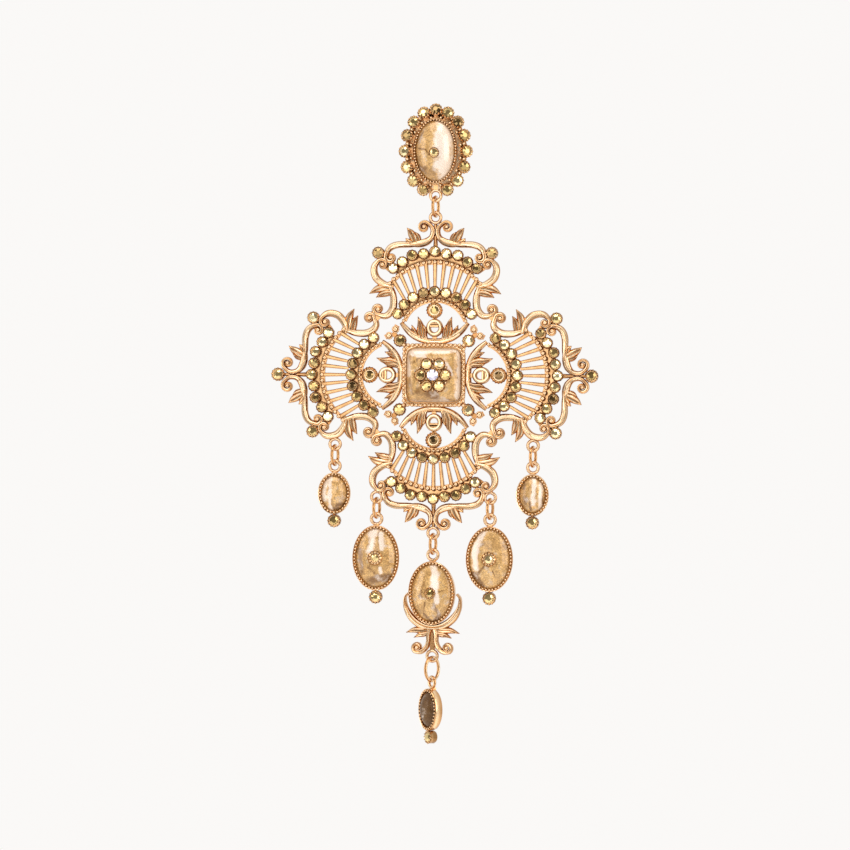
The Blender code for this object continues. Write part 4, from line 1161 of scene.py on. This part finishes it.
def mix_colours(tree, share, first, second, blend="MIX"):
    """Mix two colours by a share; each is a socket or a plain colour."""
    node = tree.nodes.new("ShaderNodeMix")
    node.data_type = "RGBA"
    node.blend_type = blend
    inputs = [node.inputs[0], node.inputs[6], node.inputs[7]]
    for socket, value in zip(inputs, (share, first, second)):
        if isinstance(value, bpy.types.NodeSocket):
            tree.links.new(value, socket)
        elif isinstance(value, float):
            socket.default_value = value
        else:
            socket.default_value = (*value, 1.0)
    return node.outputs[2]


def spread(tree, source, low, high, to_low, to_high):
    """Map a value from one range to another."""
    node = tree.nodes.new("ShaderNodeMapRange")
    set_sockets(node, {"From Min": low, "From Max": high, "To Min": to_low, "To Max": to_high})
    tree.links.new(source, node.inputs["Value"])
    return node.outputs["Result"]


def attribute(tree, name):
    """A value that the mesh carries at each of its vertices."""
    node = tree.nodes.new("ShaderNodeAttribute")
    node.attribute_name = name
    return node.outputs["Fac"]


def stroke_mask(tree, name, wavy, most):
    """Where a stroke shows, with its edge made wavy; the pale strokes are partly a painted reflection."""
    total = tree.nodes.new("ShaderNodeMath")
    tree.links.new(attribute(tree, name), total.inputs[0])
    tree.links.new(wavy, total.inputs[1])
    return spread(tree, total.outputs["Value"], 0.12, 0.62, 0.0, most)


def bump(tree, shader, height, strength):
    """A fine grain on the surface, two hundredths of a millimetre deep."""
    node = tree.nodes.new("ShaderNodeBump")
    set_sockets(node, {"Distance": 0.02 * MM, "Strength": strength})
    tree.links.new(height, node.inputs["Height"])
    tree.links.new(node.outputs["Normal"], shader.inputs["Normal"])


def gold_finish(name, tones, dull, shiny):
    """Polished pale rose gold plating with painted shade: darker the deeper it lies and on faces turned
    from the front, with a painted highlight on faces seen edge-on.
    """
    material, tree, shader = new_material(name, {"Metallic": 1.0})
    speckle = place_speckle(tree, cloud_scale=700.0, speck_scale=2600.0)
    # painted shade: the deeper the metal lies, the darker its colour
    depth = ramp(tree, spread(tree, attribute(tree, "relief"), CAST_BACK, CUP_RIM, 0.0, 1.0), tones)
    cloudy = ramp(tree, speckle.outputs["Cloud"], ((0.35, (0.84, 0.8, 0.74)), (0.65, (1.0, 1.0, 1.0))))
    plate_with_shade = mix_colours(tree, 0.9, depth, cloudy, "MULTIPLY")
    # painted shade on faces tilted away from the front, and a painted highlight where they turn edge-on
    slope_shade = ramp(tree, attribute(tree, "slope"), ((0.05, (1.0, 1.0, 1.0)), (0.28, (0.76, 0.61, 0.45)),
                                                 (0.6, (0.49, 0.3, 0.15)), (0.82, (0.62, 0.45, 0.3)),
                                                 (0.97, (1.0, 0.93, 0.84))))
    tree.links.new(mix_colours(tree, 1.0, plate_with_shade, slope_shade, "MULTIPLY"), shader.inputs["Base Color"])
    roughness = spread(tree, speckle.outputs["Cloud"], 0.3, 0.7, dull, shiny)
    tree.links.new(roughness, shader.inputs["Roughness"])
    bump(tree, shader, speckle.outputs["Height"], strength=0.25)
    return material


def stone_finish():
    """Mirror-backed golden stones, each from pale lemon to dark olive brown."""
    material, tree, shader = new_material("golden_stone", {
        "Metallic": 1.0, "Roughness": 0.05, "Coat Weight": 0.5, "Coat Roughness": 0.02})
    colour = ramp(tree, attribute(tree, "tone"),
                  ((0.0, (0.16, 0.09, 0.03)), (0.3, (0.54, 0.38, 0.14)), (0.7, (0.84, 0.67, 0.32)),
                   (1.0, (0.95, 0.86, 0.54))))
    tree.links.new(colour, shader.inputs["Base Color"])
    return material


def cabochon_finish(name, coat, brown):
    """Glossy enamel with gold mica, marbled with brown and with pale strokes that are partly pearl white
    and partly a painted reflection; darker towards its rim by painted shade.
    """
    material, tree, shader = new_material(name, {
        "Metallic": 0.3, "Roughness": 0.4, "Specular IOR Level": 0.2,
        "Coat Weight": coat, "Coat Roughness": 0.03, "Coat IOR": 1.45})
    speckle = place_speckle(tree, cloud_scale=620.0, speck_scale=5200.0)
    wavy = spread(tree, speckle.outputs["Cloud"], 0.3, 0.7, -0.42, 0.42)
    gold = ramp(tree, speckle.outputs["Cloud"],
                ((0.3, (0.5, 0.3, 0.12)), (0.45, (0.66, 0.42, 0.18)), (0.7, (0.84, 0.58, 0.28))))
    glitter = ramp(tree, speckle.outputs["Speck"],
                   ((0.0, (0.62, 0.56, 0.48)), (0.6, (0.95, 0.92, 0.85)), (1.0, (1.3, 1.22, 1.05))))
    ground = mix_colours(tree, 0.85, gold, glitter, "MULTIPLY")
    browned = mix_colours(tree, stroke_mask(tree, "brown", wavy, 0.88), ground, brown)
    # pale strokes: pearl white that also stands as a painted reflection of the soft boxes
    colour = mix_colours(tree, stroke_mask(tree, "pale", wavy, 0.92), browned, (0.94, 0.82, 0.73))
    shade = ramp(tree, attribute(tree, "slope"), ((0.03, (1.0, 1.0, 1.0)), (0.35, (0.74, 0.66, 0.56))))
    tree.links.new(mix_colours(tree, 1.0, colour, shade, "MULTIPLY"), shader.inputs["Base Color"])
    bump(tree, shader, speckle.outputs["Speck"], strength=0.3)
    return material


def clear_finish():
    """A clear stone over a pale foil."""
    material, tree, shader = new_material("clear_stone", {
        "Metallic": 0.75, "Roughness": 0.05, "Coat Weight": 1.0, "Coat Roughness": 0.01})
    speckle = place_speckle(tree, cloud_scale=900.0, speck_scale=3000.0)
    colour = ramp(tree, speckle.outputs["Cloud"], ((0.35, (0.5, 0.48, 0.62)), (0.6, (0.92, 0.91, 0.98))))
    tree.links.new(colour, shader.inputs["Base Color"])
    return material


# Ramps of painted shade over the relief of the metal: darkest at the back, lightest at the front
PLATE_SHADE_TONES = ((0.22, (0.66, 0.4, 0.2)), (0.44, (0.84, 0.57, 0.33)), (0.6, (1.0, 0.79, 0.55)))
# The cups: a darker copy of the gold, painted shade for their steep walls
CUP_SHADE_TONES = ((0.46, (0.38, 0.22, 0.1)), (0.8, (0.66, 0.44, 0.24)), (0.95, (0.99, 0.78, 0.54)))
GOLD_FINISH = gold_finish("rose_gold_plate", PLATE_SHADE_TONES, dull=0.28, shiny=0.16)
CUP_FINISH = gold_finish("gold_cups_painted_shade", CUP_SHADE_TONES, dull=0.3, shiny=0.18)
STONE_FINISH = stone_finish()
CABOCHON_FINISH = cabochon_finish("mica_enamel", coat=1.0, brown=(0.2, 0.085, 0.02))
# the tail's dome: dark brown with little coat, painted shade
TAIL_SHADED_FINISH = cabochon_finish("enamel_painted_shade", coat=0.2, brown=(0.07, 0.028, 0.009))
CLEAR_FINISH = clear_finish()


def soft_light(name, place, size, power):
    """A rectangular soft box that faces the earring."""
    lamp = bpy.data.lights.new(name, "AREA")
    lamp.shape = "RECTANGLE"
    lamp.size, lamp.size_y = size
    lamp.energy = power
    lamp.color = LAMP_COLOUR
    holder = bpy.data.objects.new(name, lamp)
    holder.location = place
    holder.rotation_euler = (Vector(AIM) - Vector(place)).to_track_quat("-Z", "Y").to_euler()
    bpy.context.scene.collection.objects.link(holder)


def studio():
    """Pale floor, pale world and soft boxes."""
    floor = bmesh.new()
    bmesh.ops.create_grid(floor, x_segments=1, y_segments=1, size=FLOOR_HALF)
    bmesh.ops.translate(floor, vec=(0.0, 0.0, FLOOR_Z), verts=floor.verts)
    data = bpy.data.meshes.new("floor")
    floor.to_mesh(data)
    floor.free()
    material, _, _ = new_material("pale_floor", {
        "Base Color": (0.92, 0.91, 0.9, 1.0), "Roughness": 0.8,
        "Emission Color": (1.0, 0.985, 0.965, 1.0), "Emission Strength": 0.28})
    data.materials.append(material)
    ground = bpy.data.objects.new("floor", data)
    bpy.context.scene.collection.objects.link(ground)
    world = bpy.data.worlds.new("studio")
    bpy.context.scene.world = world
    world.use_nodes = True
    tree = world.node_tree
    lit = tree.nodes["Background"]
    where = tree.nodes.new("ShaderNodeTexCoord")
    split = tree.nodes.new("ShaderNodeSeparateXYZ")
    tree.links.new(where.outputs["Generated"], split.inputs["Vector"])
    shade = ramp(tree, spread(tree, split.outputs["Y"], -1.0, 1.0, 0.0, 1.0),
                 ((0.0, (0.34, 0.31, 0.28)), (0.2, (0.24, 0.21, 0.18)), (0.42, (0.85, 0.82, 0.78)),
                  (1.0, (0.95, 0.93, 0.91))))
    tree.links.new(shade, lit.inputs["Color"])
    seen = tree.nodes.new("ShaderNodeBackground")
    set_sockets(seen, {"Color": (0.96, 0.945, 0.93, 1.0)})
    choose = tree.nodes.new("ShaderNodeMixShader")
    path = tree.nodes.new("ShaderNodeLightPath")
    tree.links.new(path.outputs["Is Camera Ray"], choose.inputs["Fac"])
    tree.links.new(lit.outputs["Background"], choose.inputs[1])
    tree.links.new(seen.outputs["Background"], choose.inputs[2])
    tree.links.new(choose.outputs["Shader"], tree.nodes["World Output"].inputs["Surface"])
    for lamp in LAMPS:
        soft_light(*lamp)
    bpy.context.scene.view_settings.view_transform = "Standard"


def camera():
    """The camera: level with the middle of the earring, a little to the right of straight on."""
    lens = bpy.data.cameras.new("camera")
    lens.sensor_width = SENSOR_WIDTH
    lens.lens = SENSOR_WIDTH * DISTANCE / VIEW_WIDTH
    holder = bpy.data.objects.new("camera", lens)
    holder.location = Vector(AIM) + DISTANCE * Vector((sin(AZIMUTH), -cos(AZIMUTH), 0.0))
    upright = Matrix.Rotation(AZIMUTH, 4, "Z") @ Matrix.Rotation(pi / 2, 4, "X")
    holder.rotation_euler = (upright @ Matrix.Rotation(ROLL, 4, "Z")).to_euler()
    bpy.context.scene.collection.objects.link(holder)
    bpy.context.scene.camera = holder


def loop_height(node):
    """Height of the middle of the loop on top of a setting, in millimetres."""
    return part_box(node)[1].z / MM - LOOP_R - WIRE_R


def build():
    """Dress every node of the frame."""
    cross = middle("centre_cabochon")
    centre = (cross.x, cross.z)
    stud()
    jump_ring("top_ring", "link")
    cross_casting(centre)
    cross_stones(centre)
    centre_stones(centre)
    for side in ("left", "right"):
        for kind, halves, collar in (("small", SMALL_HALF, False), ("middle", MIDDLE_HALF, True)):
            body = "pendant" if kind == "small" else side + "_middle_drop"
            prefix = side + "_" + kind
            setting = prefix + "_setting"
            jump_ring(prefix + "_ring", body)
            plain_drop(prefix, middle(setting).x, loop_height(setting), halves, body, collar)
    jump_ring("centre_ring", "centre_drop")
    centre_drop(0.0, loop_height("centre_setting"))
    jump_ring("tail_ring", "centre_drop", TAIL_RING_TURN)
    plain_drop("tail", 0.0, loop_height("tail_setting"), SMALL_HALF, "centre_drop", turn=TAIL_TURN)


build()
studio()
camera()
